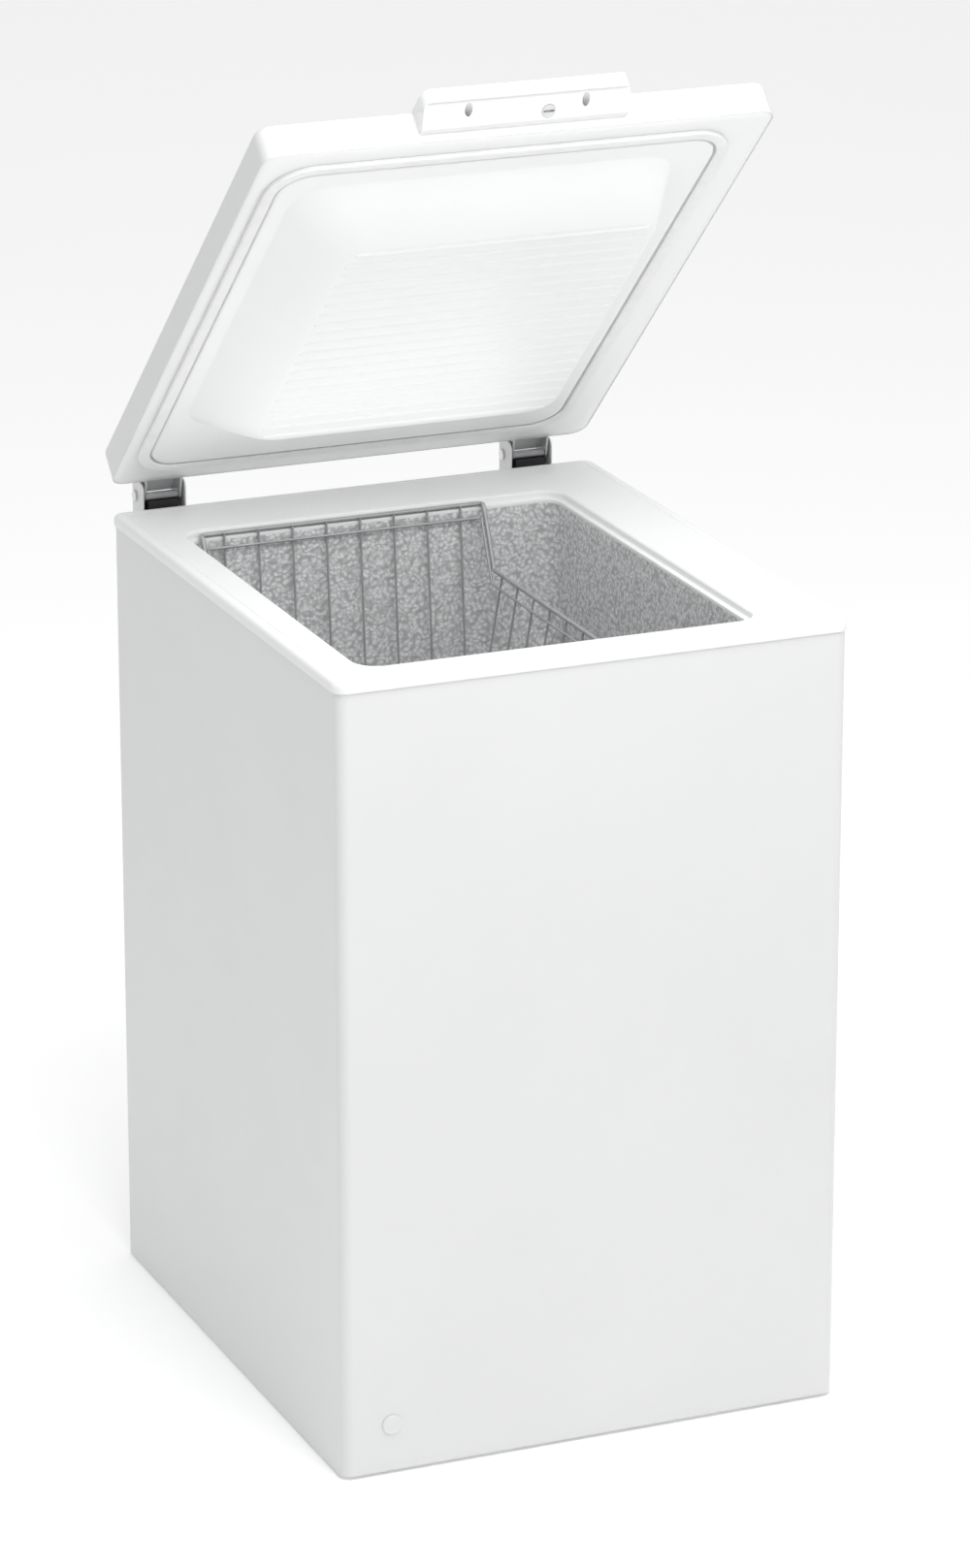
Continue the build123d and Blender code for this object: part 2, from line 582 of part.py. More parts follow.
with BuildPart() as thermostat_knob:
    rod((knob_x[0], knob_y, knob_z), (knob_x[1], knob_y, knob_z), KNOB_R)
    fillet(thermostat_knob.faces().sort_by(Axis.X)[-1].edges(), EDGE_SOFT)
    rod((back_x - SHAFT_L, knob_y, knob_z), (knob_x[0], knob_y, knob_z), SHAFT_R)
    # pointer groove across the top half of the face
    block((knob_x[1] - POINTER_D, knob_x[1] + 1), (knob_y - POINTER_W / 2, knob_y + POINTER_W / 2),
          (knob_z + POINTER_SPAN[0], knob_z + POINTER_SPAN[1]), 0, Mode.SUBTRACT)
finish(thermostat_knob, "thermostat_knob")

for name, y in lamp_spots.items():
    with BuildPart() as lamp:
        rod((back_x - LAMP_IN, y, knob_z), (well_x + LAMP_OUT, y, knob_z), LAMP_R)
        fillet(lamp.faces().sort_by(Axis.X)[-1].edges(), EDGE_SOFT)
    finish(lamp, name)

with BuildPart() as cord_gland:
    gland_span = ((gland_x, back_y - GLAND_IN, GLAND_Z), (gland_x, back_y + GLAND_OUT, GLAND_Z))
    rod(*gland_span, GLAND_R)
    rod((gland_x, back_y, GLAND_Z), (gland_x, back_y + GLAND_FLANGE_T, GLAND_Z), GLAND_R + GLAND_FLANGE)
    rod(*gland_span, GLAND_BORE_R, Mode.SUBTRACT)
finish(cord_gland, "cord_gland")

# ======================================================================================
# Hinges: a sprung plunger in a channel behind the cabinet pushes on a roller in the lid's arm
# ======================================================================================
wall_in = CHANNEL_W / 2 - CHANNEL_T
channel_low = pin_z - CHANNEL_DOWN
channel_high = pin_z + CHANNEL_UP
channel_back = back_y + CHANNEL_D
FLANGE_DOWN = 2.0         # flange's top, below the rim
CHANNEL_CORNER_R = 9.0
SET_BACK = 12.0           # walls stand back from the lid above the rim
flange_top = rim_bottom - FLANGE_DOWN

EAR_OUT = 21.5
EAR_T = 2.5
ROLLER_ARM = 12.0
ROLLER_R = 3.5
ROLLER_SIDE = 0.3
ROLLER_REST = 4.0         # roller above the pin's level, in degrees, as the lid stands open
ROLLER_LOBE = 5.5
JOURNAL_R = 2.0
roller_angle = radians(LID_ANGLE - ROLLER_REST)
roller_y = -ROLLER_ARM * cos(roller_angle)
roller_z = -ROLLER_ARM * sin(roller_angle)
ARM_T = 2.5
# heights on the lid's back, above its lip
ARM_LOW = lid_bottom + 1.0
EAR_TOP = lid_bottom + 14.0
ARM_TOP = lid_bottom + 30.0
ARM_SCREW_X = 12.0        # from the hinge's centre
ARM_SCREW_Z = lid_bottom + 22.0
SCREW_HEAD_H = 2.4
SCREW_HEAD = 1.8          # head's radius over the shank's

PIN_END = 0.2             # play between the channel and the pin's heads
PIN_HEAD_R = 6.0
PIN_HEAD_T = 2.0

PLUNGER_W = 17.0          # half width, between the ears
PLUNGER_BACK = 5.5        # back face, in front of the pin's axis
PLUNGER_D = 14.0
PLUNGER_GAP = 0.4
PLUNGER_H = 25.0
CROSSHEAD_H = 6.0
CROSSHEAD_GAP = 0.3
plunger_top = pin_z + ROLLER_ARM * sin(radians(ROLLER_REST)) - ROLLER_R - PLUNGER_GAP
plunger_low = plunger_top - PLUNGER_H
plunger_y = (pin_y - PLUNGER_BACK - PLUNGER_D, pin_y - PLUNGER_BACK)
spring_y = (plunger_y[0] + plunger_y[1]) / 2

SPRING_L = 58.0
SPRING_WIRE = 1.1
SPRING_R = 5.6
SPRING_COILS = 9
SPRING_GAP = 0.2
SEAT_H = 6.0
SEAT_STUD_H = 5.0
SEAT_STUD_CLEAR = 0.6
seat_top = plunger_low - SPRING_L
SCREW_R = 2.5
SCREW_IN = 14.0           # channel screws, from the flange's ends
screw_heights = (channel_low + SCREW_IN, flange_top - SCREW_IN)
screw_offset = CHANNEL_W / 2 + FLANGE_W / 2

for side, sign in (("left", -1), ("right", 1)):
    cx = sign * hinge_x

    with BuildPart() as channel:
        for x in (cx - CHANNEL_W / 2, cx + wall_in):
            with BuildSketch(Plane.YZ.offset(x)):
                with BuildLine():
                    Polyline((back_y, channel_low), (channel_back, channel_low),
                             (channel_back, channel_high), (back_y + SET_BACK, channel_high),
                             (back_y + SET_BACK, flange_top), (back_y, flange_top), close=True)
                make_face()
                fillet(vertices().sort_by(Axis.Y)[-2:].sort_by(Axis.X)[0], CHANNEL_CORNER_R)
            extrude(amount=CHANNEL_T)
        block((cx - CHANNEL_W / 2, cx + CHANNEL_W / 2), (channel_back - CHANNEL_T, channel_back),
              (channel_low, channel_high))
        flange_out = CHANNEL_W / 2 + FLANGE_W
        for x in ((cx - flange_out, cx - wall_in), (cx + wall_in, cx + flange_out)):
            block(x, (back_y, back_y + CHANNEL_T), (channel_low, flange_top))
        rod((cx - CHANNEL_W, pin_y, pin_z), (cx + CHANNEL_W, pin_y, pin_z),
            HINGE_PIN_R + PIN_CLEAR / 2, Mode.SUBTRACT)
        for x in (cx - screw_offset, cx + screw_offset):
            for z in screw_heights:
                rod((x, back_y, z), (x, back_y + CHANNEL_T, z), SCREW_R, Mode.SUBTRACT)
    finish(channel, "hinge_channel_" + side)

    with BuildPart() as pin:
        reach = CHANNEL_W / 2 + PIN_END
        rod((cx - reach, pin_y, pin_z), (cx + reach, pin_y, pin_z), HINGE_PIN_R)
        for end in (-1, 1):
            rod((cx + end * reach, pin_y, pin_z), (cx + end * (reach + PIN_HEAD_T), pin_y, pin_z),
                PIN_HEAD_R)
    finish(pin, "hinge_pin_" + side)

    with BuildPart() as seat:
        block((cx - wall_in, cx + wall_in), (back_y + CHANNEL_T, channel_back - CHANNEL_T),
              (seat_top - SEAT_H, seat_top))
        rod((cx, spring_y, seat_top), (cx, spring_y, seat_top + SEAT_STUD_H),
            SPRING_R - SPRING_WIRE - SEAT_STUD_CLEAR)
    finish(seat, "spring_seat_" + side)

    with BuildPart() as plunger:
        block((cx - PLUNGER_W, cx + PLUNGER_W), plunger_y, (plunger_low, plunger_top))
        block((cx - wall_in + CROSSHEAD_GAP, cx + wall_in - CROSSHEAD_GAP), plunger_y,
              (plunger_low, plunger_low + CROSSHEAD_H))
    finish(plunger, "hinge_plunger_" + side)

    with BuildPart() as spring:
        rise = SPRING_L - 2 * (SPRING_WIRE + SPRING_GAP)
        with BuildLine() as coil:
            Helix(rise / SPRING_COILS, rise, SPRING_R,
                  center=(cx, spring_y, seat_top + SPRING_WIRE + SPRING_GAP))
        with BuildSketch(Plane(origin=coil.line @ 0, z_dir=coil.line % 0)):
            Circle(SPRING_WIRE)
        sweep()
    finish(spring, "hinge_spring_" + side)

    with BuildPart() as arm:
        for x in (cx - EAR_OUT, cx + EAR_OUT - EAR_T):
            with BuildSketch(lid_side(x)):
                Circle(BOSS_R)
                with Locations((roller_y, roller_z)):
                    Circle(ROLLER_LOBE)
                with Locations((lid_back + ARM_T / 2, (ARM_LOW + EAR_TOP) / 2)):
                    Rectangle(ARM_T, EAR_TOP - ARM_LOW)
                make_hull()
                Circle(HINGE_PIN_R + PIN_CLEAR, mode=Mode.SUBTRACT)
                with Locations((roller_y, roller_z)):
                    Circle(JOURNAL_R + PIN_CLEAR, mode=Mode.SUBTRACT)
            extrude(amount=EAR_T)
        block((cx - EAR_OUT, cx + EAR_OUT), (lid_back, lid_back + ARM_T), (ARM_LOW, ARM_TOP), base=LID)
        for x in (cx - ARM_SCREW_X, cx + ARM_SCREW_X):
            with BuildSketch(lid_face(lid_back + ARM_T)):
                with Locations((x, ARM_SCREW_Z)):
                    Circle(SCREW_R)
            extrude(amount=ARM_T, mode=Mode.SUBTRACT)
    finish(arm, "hinge_arm_" + side)

    with BuildPart() as roller:
        barrel_out = EAR_OUT - EAR_T - ROLLER_SIDE
        for out, r in ((EAR_OUT, JOURNAL_R), (barrel_out, ROLLER_R)):
            with BuildSketch(lid_side(cx - out)):
                with Locations((roller_y, roller_z)):
                    Circle(r)
            extrude(amount=2 * out)
    finish(roller, "hinge_roller_" + side)

with BuildPart() as hinge_screws:
    for cx in (-hinge_x, hinge_x):
        for x in (cx - screw_offset, cx + screw_offset):
            for z in screw_heights:
                rod((x, back_y, z), (x, back_y + CHANNEL_T, z), SCREW_R)
                rod((x, back_y + CHANNEL_T, z), (x, back_y + CHANNEL_T + SCREW_HEAD_H, z), 2 * SCREW_R)
finish(hinge_screws, "hinge_screws")

# ======================================================================================
# Lid, drawn shut in the planes of the lid
# ======================================================================================
PANEL_T = 2.0
STEP_LEFT, STEP_RIGHT, STEP_FRONT, STEP_BACK = 30.0, 50.0, 39.0, 43.0
STEP_H = 4.5              # raised field inside the gasket
STEP_R = 34.0
DISH_DEEP = 34.0          # ribbed field, below the lip
DISH_CLEAR_SIDE = 3.0     # from the rim's inner ledge
DISH_CLEAR_FRONT = 9.0
DISH_CLEAR_BACK = 21.0    # leaves room for the basket's rim when the lid is shut
SLOPE_LEFT, SLOPE_RIGHT, SLOPE_FRONT, SLOPE_BACK = 68.0, 3.0, 82.0, 2.0
DISH_R = 40.0
FIELD_R = 30.0
RIB_COUNT = 19
RIB_W = 3.0
RIB_H = 1.0
RIB_ENDS = (8.0, 6.0)     # ribs stop short of the field's sides
GASKET_W = 13.0
GASKET_SOFT = 2.5
GASKET_GAP = 0.5          # shut gasket above the rim's land
GASKET_IN = 2.0           # between the step and the gasket

step_x = (-lid_half + STEP_LEFT, lid_half - STEP_RIGHT)
step_y = (lid_front + STEP_FRONT, lid_back - STEP_BACK)
dish_x = (in_left + DISH_CLEAR_SIDE, in_right - DISH_CLEAR_SIDE)
dish_y = (in_front + DISH_CLEAR_FRONT - pin_y, in_back - DISH_CLEAR_BACK - pin_y)
field_x = (dish_x[0] + SLOPE_LEFT, dish_x[1] - SLOPE_RIGHT)
field_y = (dish_y[0] + SLOPE_FRONT, dish_y[1] - SLOPE_BACK)

HANDLE_W = 225.0
HANDLE_REACH = 42.0
HANDLE_R = 18.0
HANDLE_WALL = 3.0
HANDLE_SCREW_X = 64.0
HANDLE_SCREW_Z = lid_bottom + 19.0
HANDLE_SCREW_R = 2.1
SCREW_PLAY = 0.1
ANCHOR_DEEP = 14.0
LOCK_X = 24.0
LOCK_R = 7.5
LOCK_UP = 9.0             # up the handle's underside from its foot
LOCK_DEEP = 9.0
LOCK_CLEAR = 0.3


def frustum(low_x, low_y, low_z, low_r, top_x, top_y, top_z, top_r, mode=Mode.ADD):
    """Tapering block in the lid between two rounded rectangles."""
    with BuildSketch(LID.offset(low_z)) as low:
        with Locations((sum(low_x) / 2, sum(low_y) / 2)):
            RectangleRounded(low_x[1] - low_x[0], low_y[1] - low_y[0], low_r)
    with BuildSketch(LID.offset(top_z)) as top:
        with Locations((sum(top_x) / 2, sum(top_y) / 2)):
            RectangleRounded(top_x[1] - top_x[0], top_y[1] - top_y[0], top_r)
    loft([low.sketch.face(), top.sketch.face()], ruled=True, mode=mode)


def disc(plane, x, y, r, length, mode=Mode.ADD):
    """Round bar that starts in a plane and runs along its normal."""
    with BuildSketch(plane) as section:
        with Locations((x, y)):
            Circle(r)
    extrude(section.sketch, amount=length, mode=mode)


with BuildPart() as hinge_arm_screws:
    for cx in (-hinge_x, hinge_x):
        for x in (cx - ARM_SCREW_X, cx + ARM_SCREW_X):
            disc(lid_face(lid_back + ARM_T), x, ARM_SCREW_Z, SCREW_R, ARM_T)
            disc(lid_face(lid_back + ARM_T), x, ARM_SCREW_Z, SCREW_R * SCREW_HEAD, -SCREW_HEAD_H)
finish(hinge_arm_screws, "hinge_arm_screws")

with BuildPart() as lid_outer_shell:
    block((-lid_half, lid_half), (lid_front, lid_back), (lid_bottom, lid_bottom + LID_T), LID_R, base=LID)
    fillet(lid_outer_shell.faces().sort_by(Axis(pin_point, lid_up_dir))[-1].edges(), LID_EDGE_R)
    offset(amount=-SHEET, openings=lid_outer_shell.faces().sort_by(Axis(pin_point, lid_up_dir))[0])
    for dx in (-HANDLE_SCREW_X, HANDLE_SCREW_X):
        disc(lid_face(lid_front), dx, HANDLE_SCREW_Z, HANDLE_SCREW_R + SCREW_PLAY, -SHEET, Mode.SUBTRACT)
finish(lid_outer_shell, "lid_outer_shell")

with BuildPart() as lid_inner_panel:
    block(inset((-lid_half, lid_half), SHEET), inset((lid_front, lid_back), SHEET),
          (lid_bottom, lid_bottom + PANEL_T), LID_R - SHEET, base=LID)
    block(step_x, step_y, (lid_bottom - STEP_H, lid_bottom), STEP_R, base=LID)
    frustum(field_x, field_y, lid_bottom - DISH_DEEP, FIELD_R,
            dish_x, dish_y, lid_bottom - STEP_H, DISH_R)
    for n in range(RIB_COUNT):
        y = field_y[0] + (n + 0.5) * (field_y[1] - field_y[0]) / RIB_COUNT
        block((field_x[0] + RIB_ENDS[0], field_x[1] - RIB_ENDS[1]), (y - RIB_W / 2, y + RIB_W / 2),
              (lid_bottom - DISH_DEEP - RIB_H, lid_bottom - DISH_DEEP), base=LID)
    # the sheet is open from above
    block(inset(step_x, PANEL_T), inset(step_y, PANEL_T),
          (lid_bottom - STEP_H + PANEL_T, lid_bottom + PANEL_T), STEP_R - PANEL_T, Mode.SUBTRACT, LID)
    frustum(inset(field_x, PANEL_T), inset(field_y, PANEL_T), lid_bottom - DISH_DEEP + PANEL_T,
            FIELD_R - PANEL_T, inset(dish_x, PANEL_T), inset(dish_y, PANEL_T),
            lid_bottom - STEP_H + PANEL_T, DISH_R - PANEL_T, Mode.SUBTRACT)
finish(lid_inner_panel, "lid_inner_panel")

with BuildPart() as lid_insulation:
    block(inset((-lid_half, lid_half), SHEET), inset((lid_front, lid_back), SHEET),
          (lid_bottom + PANEL_T, lid_bottom + LID_T - SHEET), LID_R - SHEET, base=LID)
    fillet(lid_insulation.faces().sort_by(Axis(pin_point, lid_up_dir))[-1].edges(), LID_EDGE_R - SHEET)
    block(inset(step_x, PANEL_T), inset(step_y, PANEL_T),
          (lid_bottom - STEP_H + PANEL_T, lid_bottom + PANEL_T), STEP_R - PANEL_T, base=LID)
    frustum(inset(field_x, PANEL_T), inset(field_y, PANEL_T), lid_bottom - DISH_DEEP + PANEL_T,
            FIELD_R - PANEL_T, inset(dish_x, PANEL_T), inset(dish_y, PANEL_T),
            lid_bottom - STEP_H + PANEL_T, DISH_R - PANEL_T)
    for dx in (-HANDLE_SCREW_X, HANDLE_SCREW_X):
        disc(lid_face(lid_front + SHEET), dx, HANDLE_SCREW_Z, HANDLE_SCREW_R + SCREW_PLAY,
             SHEET - ANCHOR_DEEP, Mode.SUBTRACT)
finish(lid_insulation, "lid_insulation")

with BuildPart() as lid_gasket:
    block(inset(step_x, -GASKET_IN - GASKET_W), inset(step_y, -GASKET_IN - GASKET_W),
          (lid_bottom - LID_GAP + GASKET_GAP, lid_bottom), STEP_R + GASKET_IN + GASKET_W, base=LID)
    fillet(lid_gasket.faces().sort_by(Axis(pin_point, lid_up_dir))[0].edges(), GASKET_SOFT)
    block(inset(step_x, -GASKET_IN), inset(step_y, -GASKET_IN),
          (lid_bottom - LID_GAP, lid_bottom), STEP_R + GASKET_IN, Mode.SUBTRACT, LID)
finish(lid_gasket, "lid_gasket")

# ---- handle, screwed to the front of the lid ---------------------------------------------
HANDLE_LOW = lid_bottom + 9.0
HANDLE_SOFT = 1.0
FOOT_OUT = 9.0
LIP_IN = 34.0
LIP_Z = lid_bottom + 25.0
LIP_NOSE = (3.0, 2.5)
NOSE_LOW = 1.0
BROW = (4.0, 2.0)
POCKET_END = 12.0
POCKET_TOP = 4.0
BOSS_HALF = 7.0
BORE_DEEP = 8.0
SCREW_HEAD_R = 4.0
BORE_PLAY = 0.3
LOCK_PROUD = 0.4
KEY_SLOT = (12.0, 2.4, 5.0)
RETAINER_UP = 1.9
RETAINER_T = 1.5
RETAINER_OUT = 1.4
lid_top = lid_bottom + LID_T
handle_front = lid_front - HANDLE_REACH
handle_x = (-HANDLE_W / 2, HANDLE_W / 2)
slope_dir = Vector(-(LIP_IN - FOOT_OUT), LIP_Z - HANDLE_LOW).normalized()
with BuildPart() as lid_handle:
    with BuildSketch(lid_side(handle_x[0])):
        with BuildLine():
            Polyline((lid_front, HANDLE_LOW), (lid_front - FOOT_OUT, HANDLE_LOW),
                     (lid_front - LIP_IN, LIP_Z), (lid_front - LIP_IN - LIP_NOSE[0], LIP_Z - LIP_NOSE[1]),
                     (handle_front + NOSE_LOW, LIP_Z - NOSE_LOW), (handle_front, lid_top - BROW[1]),
                     (handle_front + BROW[0], lid_top), (lid_front, lid_top), close=True)
        make_face()
        fillet(vertices().sort_by(Axis.X)[:5], HANDLE_SOFT)
    extrude(amount=HANDLE_W)
    block(handle_x, (handle_front - 1, lid_front + 2 * HANDLE_R), (lid_bottom, lid_top + 1),
          HANDLE_R, Mode.INTERSECT, LID)
    # hollow behind, except at the screw bosses
    for span in ((handle_x[0] + POCKET_END, -HANDLE_SCREW_X - BOSS_HALF),
                 (-HANDLE_SCREW_X + BOSS_HALF, HANDLE_SCREW_X - BOSS_HALF),
                 (HANDLE_SCREW_X + BOSS_HALF, handle_x[1] - POCKET_END)):
        with BuildSketch(lid_side(span[0])):
            with BuildLine():
                Polyline((lid_front, HANDLE_LOW + HANDLE_WALL),
                         (lid_front - FOOT_OUT + 1, HANDLE_LOW + HANDLE_WALL),
                         (lid_front - LIP_IN + HANDLE_WALL, LIP_Z + HANDLE_WALL - 1),
                         (handle_front + POCKET_TOP, LIP_Z + HANDLE_WALL),
                         (handle_front + POCKET_TOP, lid_top - POCKET_TOP),
                         (lid_front, lid_top - HANDLE_WALL), close=True)
            make_face()
        extrude(amount=span[1] - span[0], mode=Mode.SUBTRACT)
    for x in (-HANDLE_SCREW_X, HANDLE_SCREW_X):
        disc(lid_face(lid_front), x, HANDLE_SCREW_Z, HANDLE_SCREW_R + SCREW_PLAY, HANDLE_REACH + 2,
             Mode.SUBTRACT)
        disc(lid_face(lid_front - BORE_DEEP), x, HANDLE_SCREW_Z, SCREW_HEAD_R + BORE_PLAY, HANDLE_REACH,
             Mode.SUBTRACT)
    lock_point = (pin_point + Vector(LOCK_X, 0, 0)
                  + lid_back_dir * (lid_front - FOOT_OUT + slope_dir.X * LOCK_UP)
                  + lid_up_dir * (HANDLE_LOW + slope_dir.Y * LOCK_UP))
    lock_out = lid_back_dir * -slope_dir.Y + lid_up_dir * slope_dir.X
    LOCK = Plane(origin=lock_point, x_dir=(1, 0, 0), z_dir=lock_out)
    with BuildSketch(LOCK.offset(2)) as lock_bore:
        Circle(LOCK_R + LOCK_CLEAR)
    extrude(lock_bore.sketch, amount=-LOCK_DEEP, mode=Mode.SUBTRACT)
finish(lid_handle, "lid_handle")

with BuildPart() as handle_screws:
    for x in (-HANDLE_SCREW_X, HANDLE_SCREW_X):
        disc(lid_face(lid_front - BORE_DEEP), x, HANDLE_SCREW_Z, SCREW_HEAD_R, SCREW_HEAD_H)
        disc(lid_face(lid_front - BORE_DEEP), x, HANDLE_SCREW_Z, HANDLE_SCREW_R, -BORE_DEEP - ANCHOR_DEEP)
finish(handle_screws, "handle_screws")

with BuildPart() as lock_barrel:
    with BuildSketch(LOCK.offset(LOCK_PROUD)):
        Circle(LOCK_R)
    extrude(amount=-LOCK_DEEP)
    with BuildSketch(LOCK.offset(LOCK_PROUD)):
        Rectangle(KEY_SLOT[0], KEY_SLOT[1])
    extrude(amount=-KEY_SLOT[2], mode=Mode.SUBTRACT)
    # retaining disc behind the handle's wall
    with BuildSketch(LOCK.offset(RETAINER_UP - LOCK_DEEP)):
        Circle(LOCK_R + RETAINER_OUT)
    extrude(amount=-RETAINER_T)
finish(lock_barrel, "lock_barrel")

# ======================================================================================
# Wire basket, hung by its ends on the rim's ledge
# ======================================================================================
RIM_WIRE = 2.5
WIRE = 1.25
WELD = 0.1                # how far crossing wires sink into each other
HANG_GAP = 0.3
BASKET_FREE = 86.0        # left open beside the basket
BASKET_LEFT = 14.0
BASKET_OUT = 1.4          # rim wires beyond the liner's front and back, over the ledge
BASKET_DEEP = 225.0
SIDE_DROP = 66.0          # low sides, below the ends
SIDE_RUN = 30.0
SHOULDER = 7.0
END_TAPER = 18.0
SIDE_TAPER = 26.0
SECOND_DROP = 14.0
SECOND_IN = 4.6
SECOND_WIRE = 1.5
SECOND_SHOULDER = 5.4
RIM_BEND = 4.0
WIRE_BEND = 14.0
LONG_COUNT = 8
CROSS_COUNT = 10
CROSS_CLEAR = 22.0        # first cross wire, from the foot of the rim's slope

basket_x = (in_left + BASKET_LEFT, in_right - BASKET_FREE)
rim_y = (in_front - BASKET_OUT, in_back + BASKET_OUT)
rim_z = HEIGHT - LEDGE_DROP + RIM_WIRE + HANG_GAP
side_z = rim_z - SIDE_DROP
basket_low = rim_z - BASKET_DEEP
end_y = inset(rim_y, RIM_WIRE + WIRE - WELD)
floor_y = inset(end_y, END_TAPER)
floor_x = inset(basket_x, SIDE_TAPER)


def rim_loop(x, y, drop, shoulder):
    """Corners of a closed loop with high ends and low sides."""
    points = []
    for end, way in ((y[1], -1), (y[0], 1)):
        first, last = (x[0], x[1]) if way < 0 else (x[1], x[0])
        points += [(first, end + way * (shoulder + SIDE_RUN), side_z - drop),
                   (first, end + way * shoulder, rim_z - drop), (first, end, rim_z - drop),
                   (last, end, rim_z - drop), (last, end + way * shoulder, rim_z - drop),
                   (last, end + way * (shoulder + SIDE_RUN), side_z - drop)]
    return points


def wire_loop(points, bend, r):
    """Closed bent wire."""
    with BuildLine() as path:
        FilletPolyline(*points, radius=bend, close=True)
    start = path.edges().filter_by(GeomType.LINE).sort_by(SortBy.LENGTH)[-1]
    with BuildSketch(Plane(origin=start @ 0.5, z_dir=start % 0.5)) as section:
        Circle(r)
    sweep(section.sketch, path=path.line)


with BuildPart() as basket_rim:
    wire_loop(rim_loop(basket_x, rim_y, 0, SHOULDER), RIM_BEND, RIM_WIRE)
finish(basket_rim, "basket_rim")

# a thinner loop below it, inside the upright wires
with BuildPart() as basket_second_rim:
    wire_loop(rim_loop(inset(basket_x, SECOND_IN), inset(end_y, SECOND_IN - 1), SECOND_DROP,
                       SECOND_SHOULDER), RIM_BEND - 1, SECOND_WIRE)
finish(basket_second_rim, "basket_second_rim")

with BuildPart() as basket_long_wires:
    for n in range(LONG_COUNT):
        x = floor_x[0] + n * (floor_x[1] - floor_x[0]) / (LONG_COUNT - 1)
        tube([(x, end_y[0], rim_z + 1), (x, floor_y[0], basket_low), (x, floor_y[1], basket_low),
              (x, end_y[1], rim_z + 1)], WIRE_BEND, WIRE)
finish(basket_long_wires, "basket_long_wires")

cross_low = basket_low + 2 * WIRE - WELD
with BuildPart() as basket_cross_wires:
    for n in range(CROSS_COUNT):
        span = inset(rim_y, SHOULDER + SIDE_RUN + CROSS_CLEAR)
        y = span[0] + n * (span[1] - span[0]) / (CROSS_COUNT - 1)
        top = side_z - RIM_WIRE + WELD
        tube([(basket_x[0], y, top), (floor_x[0], y, cross_low), (floor_x[1], y, cross_low),
              (basket_x[1], y, top)], WIRE_BEND, WIRE)
finish(basket_cross_wires, "basket_cross_wires")
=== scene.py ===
import bmesh
import bpy
import json
from math import cos, pi, radians, sin
from mathutils import Matrix, Vector


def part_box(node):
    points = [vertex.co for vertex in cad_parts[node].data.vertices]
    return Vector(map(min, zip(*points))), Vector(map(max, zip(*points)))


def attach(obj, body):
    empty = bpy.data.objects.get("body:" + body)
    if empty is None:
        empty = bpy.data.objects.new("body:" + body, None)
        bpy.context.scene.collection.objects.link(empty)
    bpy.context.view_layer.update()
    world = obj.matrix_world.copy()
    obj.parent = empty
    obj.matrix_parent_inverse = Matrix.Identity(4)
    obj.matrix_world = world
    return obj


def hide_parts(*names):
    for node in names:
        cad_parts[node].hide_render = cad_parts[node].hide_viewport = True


bl_info = {
    "name": "Chest Freezer",
    "version": (1, 0, 0),
    "blender": (4, 5, 0),
    "location": "View3D > Sidebar > Freezer",
    "description": "Dresses a chest freezer with its rim, lid lining, seal, handle, basket and finishes",
    "category": "Object",
}

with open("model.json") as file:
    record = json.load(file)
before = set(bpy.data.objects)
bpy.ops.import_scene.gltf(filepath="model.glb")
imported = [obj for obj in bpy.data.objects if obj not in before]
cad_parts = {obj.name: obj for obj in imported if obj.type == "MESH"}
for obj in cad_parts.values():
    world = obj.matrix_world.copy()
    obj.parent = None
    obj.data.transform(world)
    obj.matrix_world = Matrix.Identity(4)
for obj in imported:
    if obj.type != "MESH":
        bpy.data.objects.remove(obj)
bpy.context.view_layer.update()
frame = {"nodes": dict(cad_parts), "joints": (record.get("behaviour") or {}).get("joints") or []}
MM = 0.001

LINING_WALL = 1.2 * MM     # sheet of the metal lining
LEDGE_W = 6 * MM           # step in the rim that the basket hangs on
STEP_R = 34 * MM           # corner of the step inside the seal
SEAL_W = 15 * MM           # from the seal's outside to that step
LIP = 1.2 * MM             # rounded edge above the lid lining's slopes
SLOPE_STEPS = 14           # courses down the slopes
FLOOR_HALF = 30.0

# name, place, side of the square, power, what it points at
LIGHTS = (("key", (2.8, -3.6, 2.6), 2.4, 16.0, (0.0, -0.1, 0.7)),
          ("top", (0.3, 0.0, 4.4), 3.0, 25.0, (0.0, -0.1, 0.7)),
          ("opening", (-0.15, -1.2, 2.4), 1.2, 26.0, (0.0, -0.05, 0.8)),
          ("lining", (-0.03, 0.0, 0.893), 0.4, 0.55, (-0.03, 0.001, 1.4)))
CAMERA_AT = (-2.3691, -5.7030, 2.6944)
CAMERA_TURN = 22.78        # degrees to the right of +Y
CAMERA_DIP = 18.61         # degrees below level
CAMERA_LENS = 140.1
CAMERA_SENSOR = 36.0

hinge = next(j for j in frame["joints"] if j["name"] == "lid_hinge")
# The lid is built shut, with the hinge pin as origin, and turned open to where the frame holds it.
LID_OPEN = (Matrix.Translation(Vector(hinge["pos_m"]))
            @ Matrix.Rotation(radians(hinge["range_deg"][0]), 4, "X"))
LID_SHUT = LID_OPEN.inverted()


def shut_box(node):
    """Lowest and highest corner of a lid node, measured with the lid shut and the hinge pin as origin."""
    points = [LID_SHUT @ v.co for v in frame["nodes"][node].data.vertices]
    low = Vector(min(p[i] for p in points) for i in range(3))
    high = Vector(max(p[i] for p in points) for i in range(3))
    return low, high


# ---- materials ---------------------------------------------------------------------------


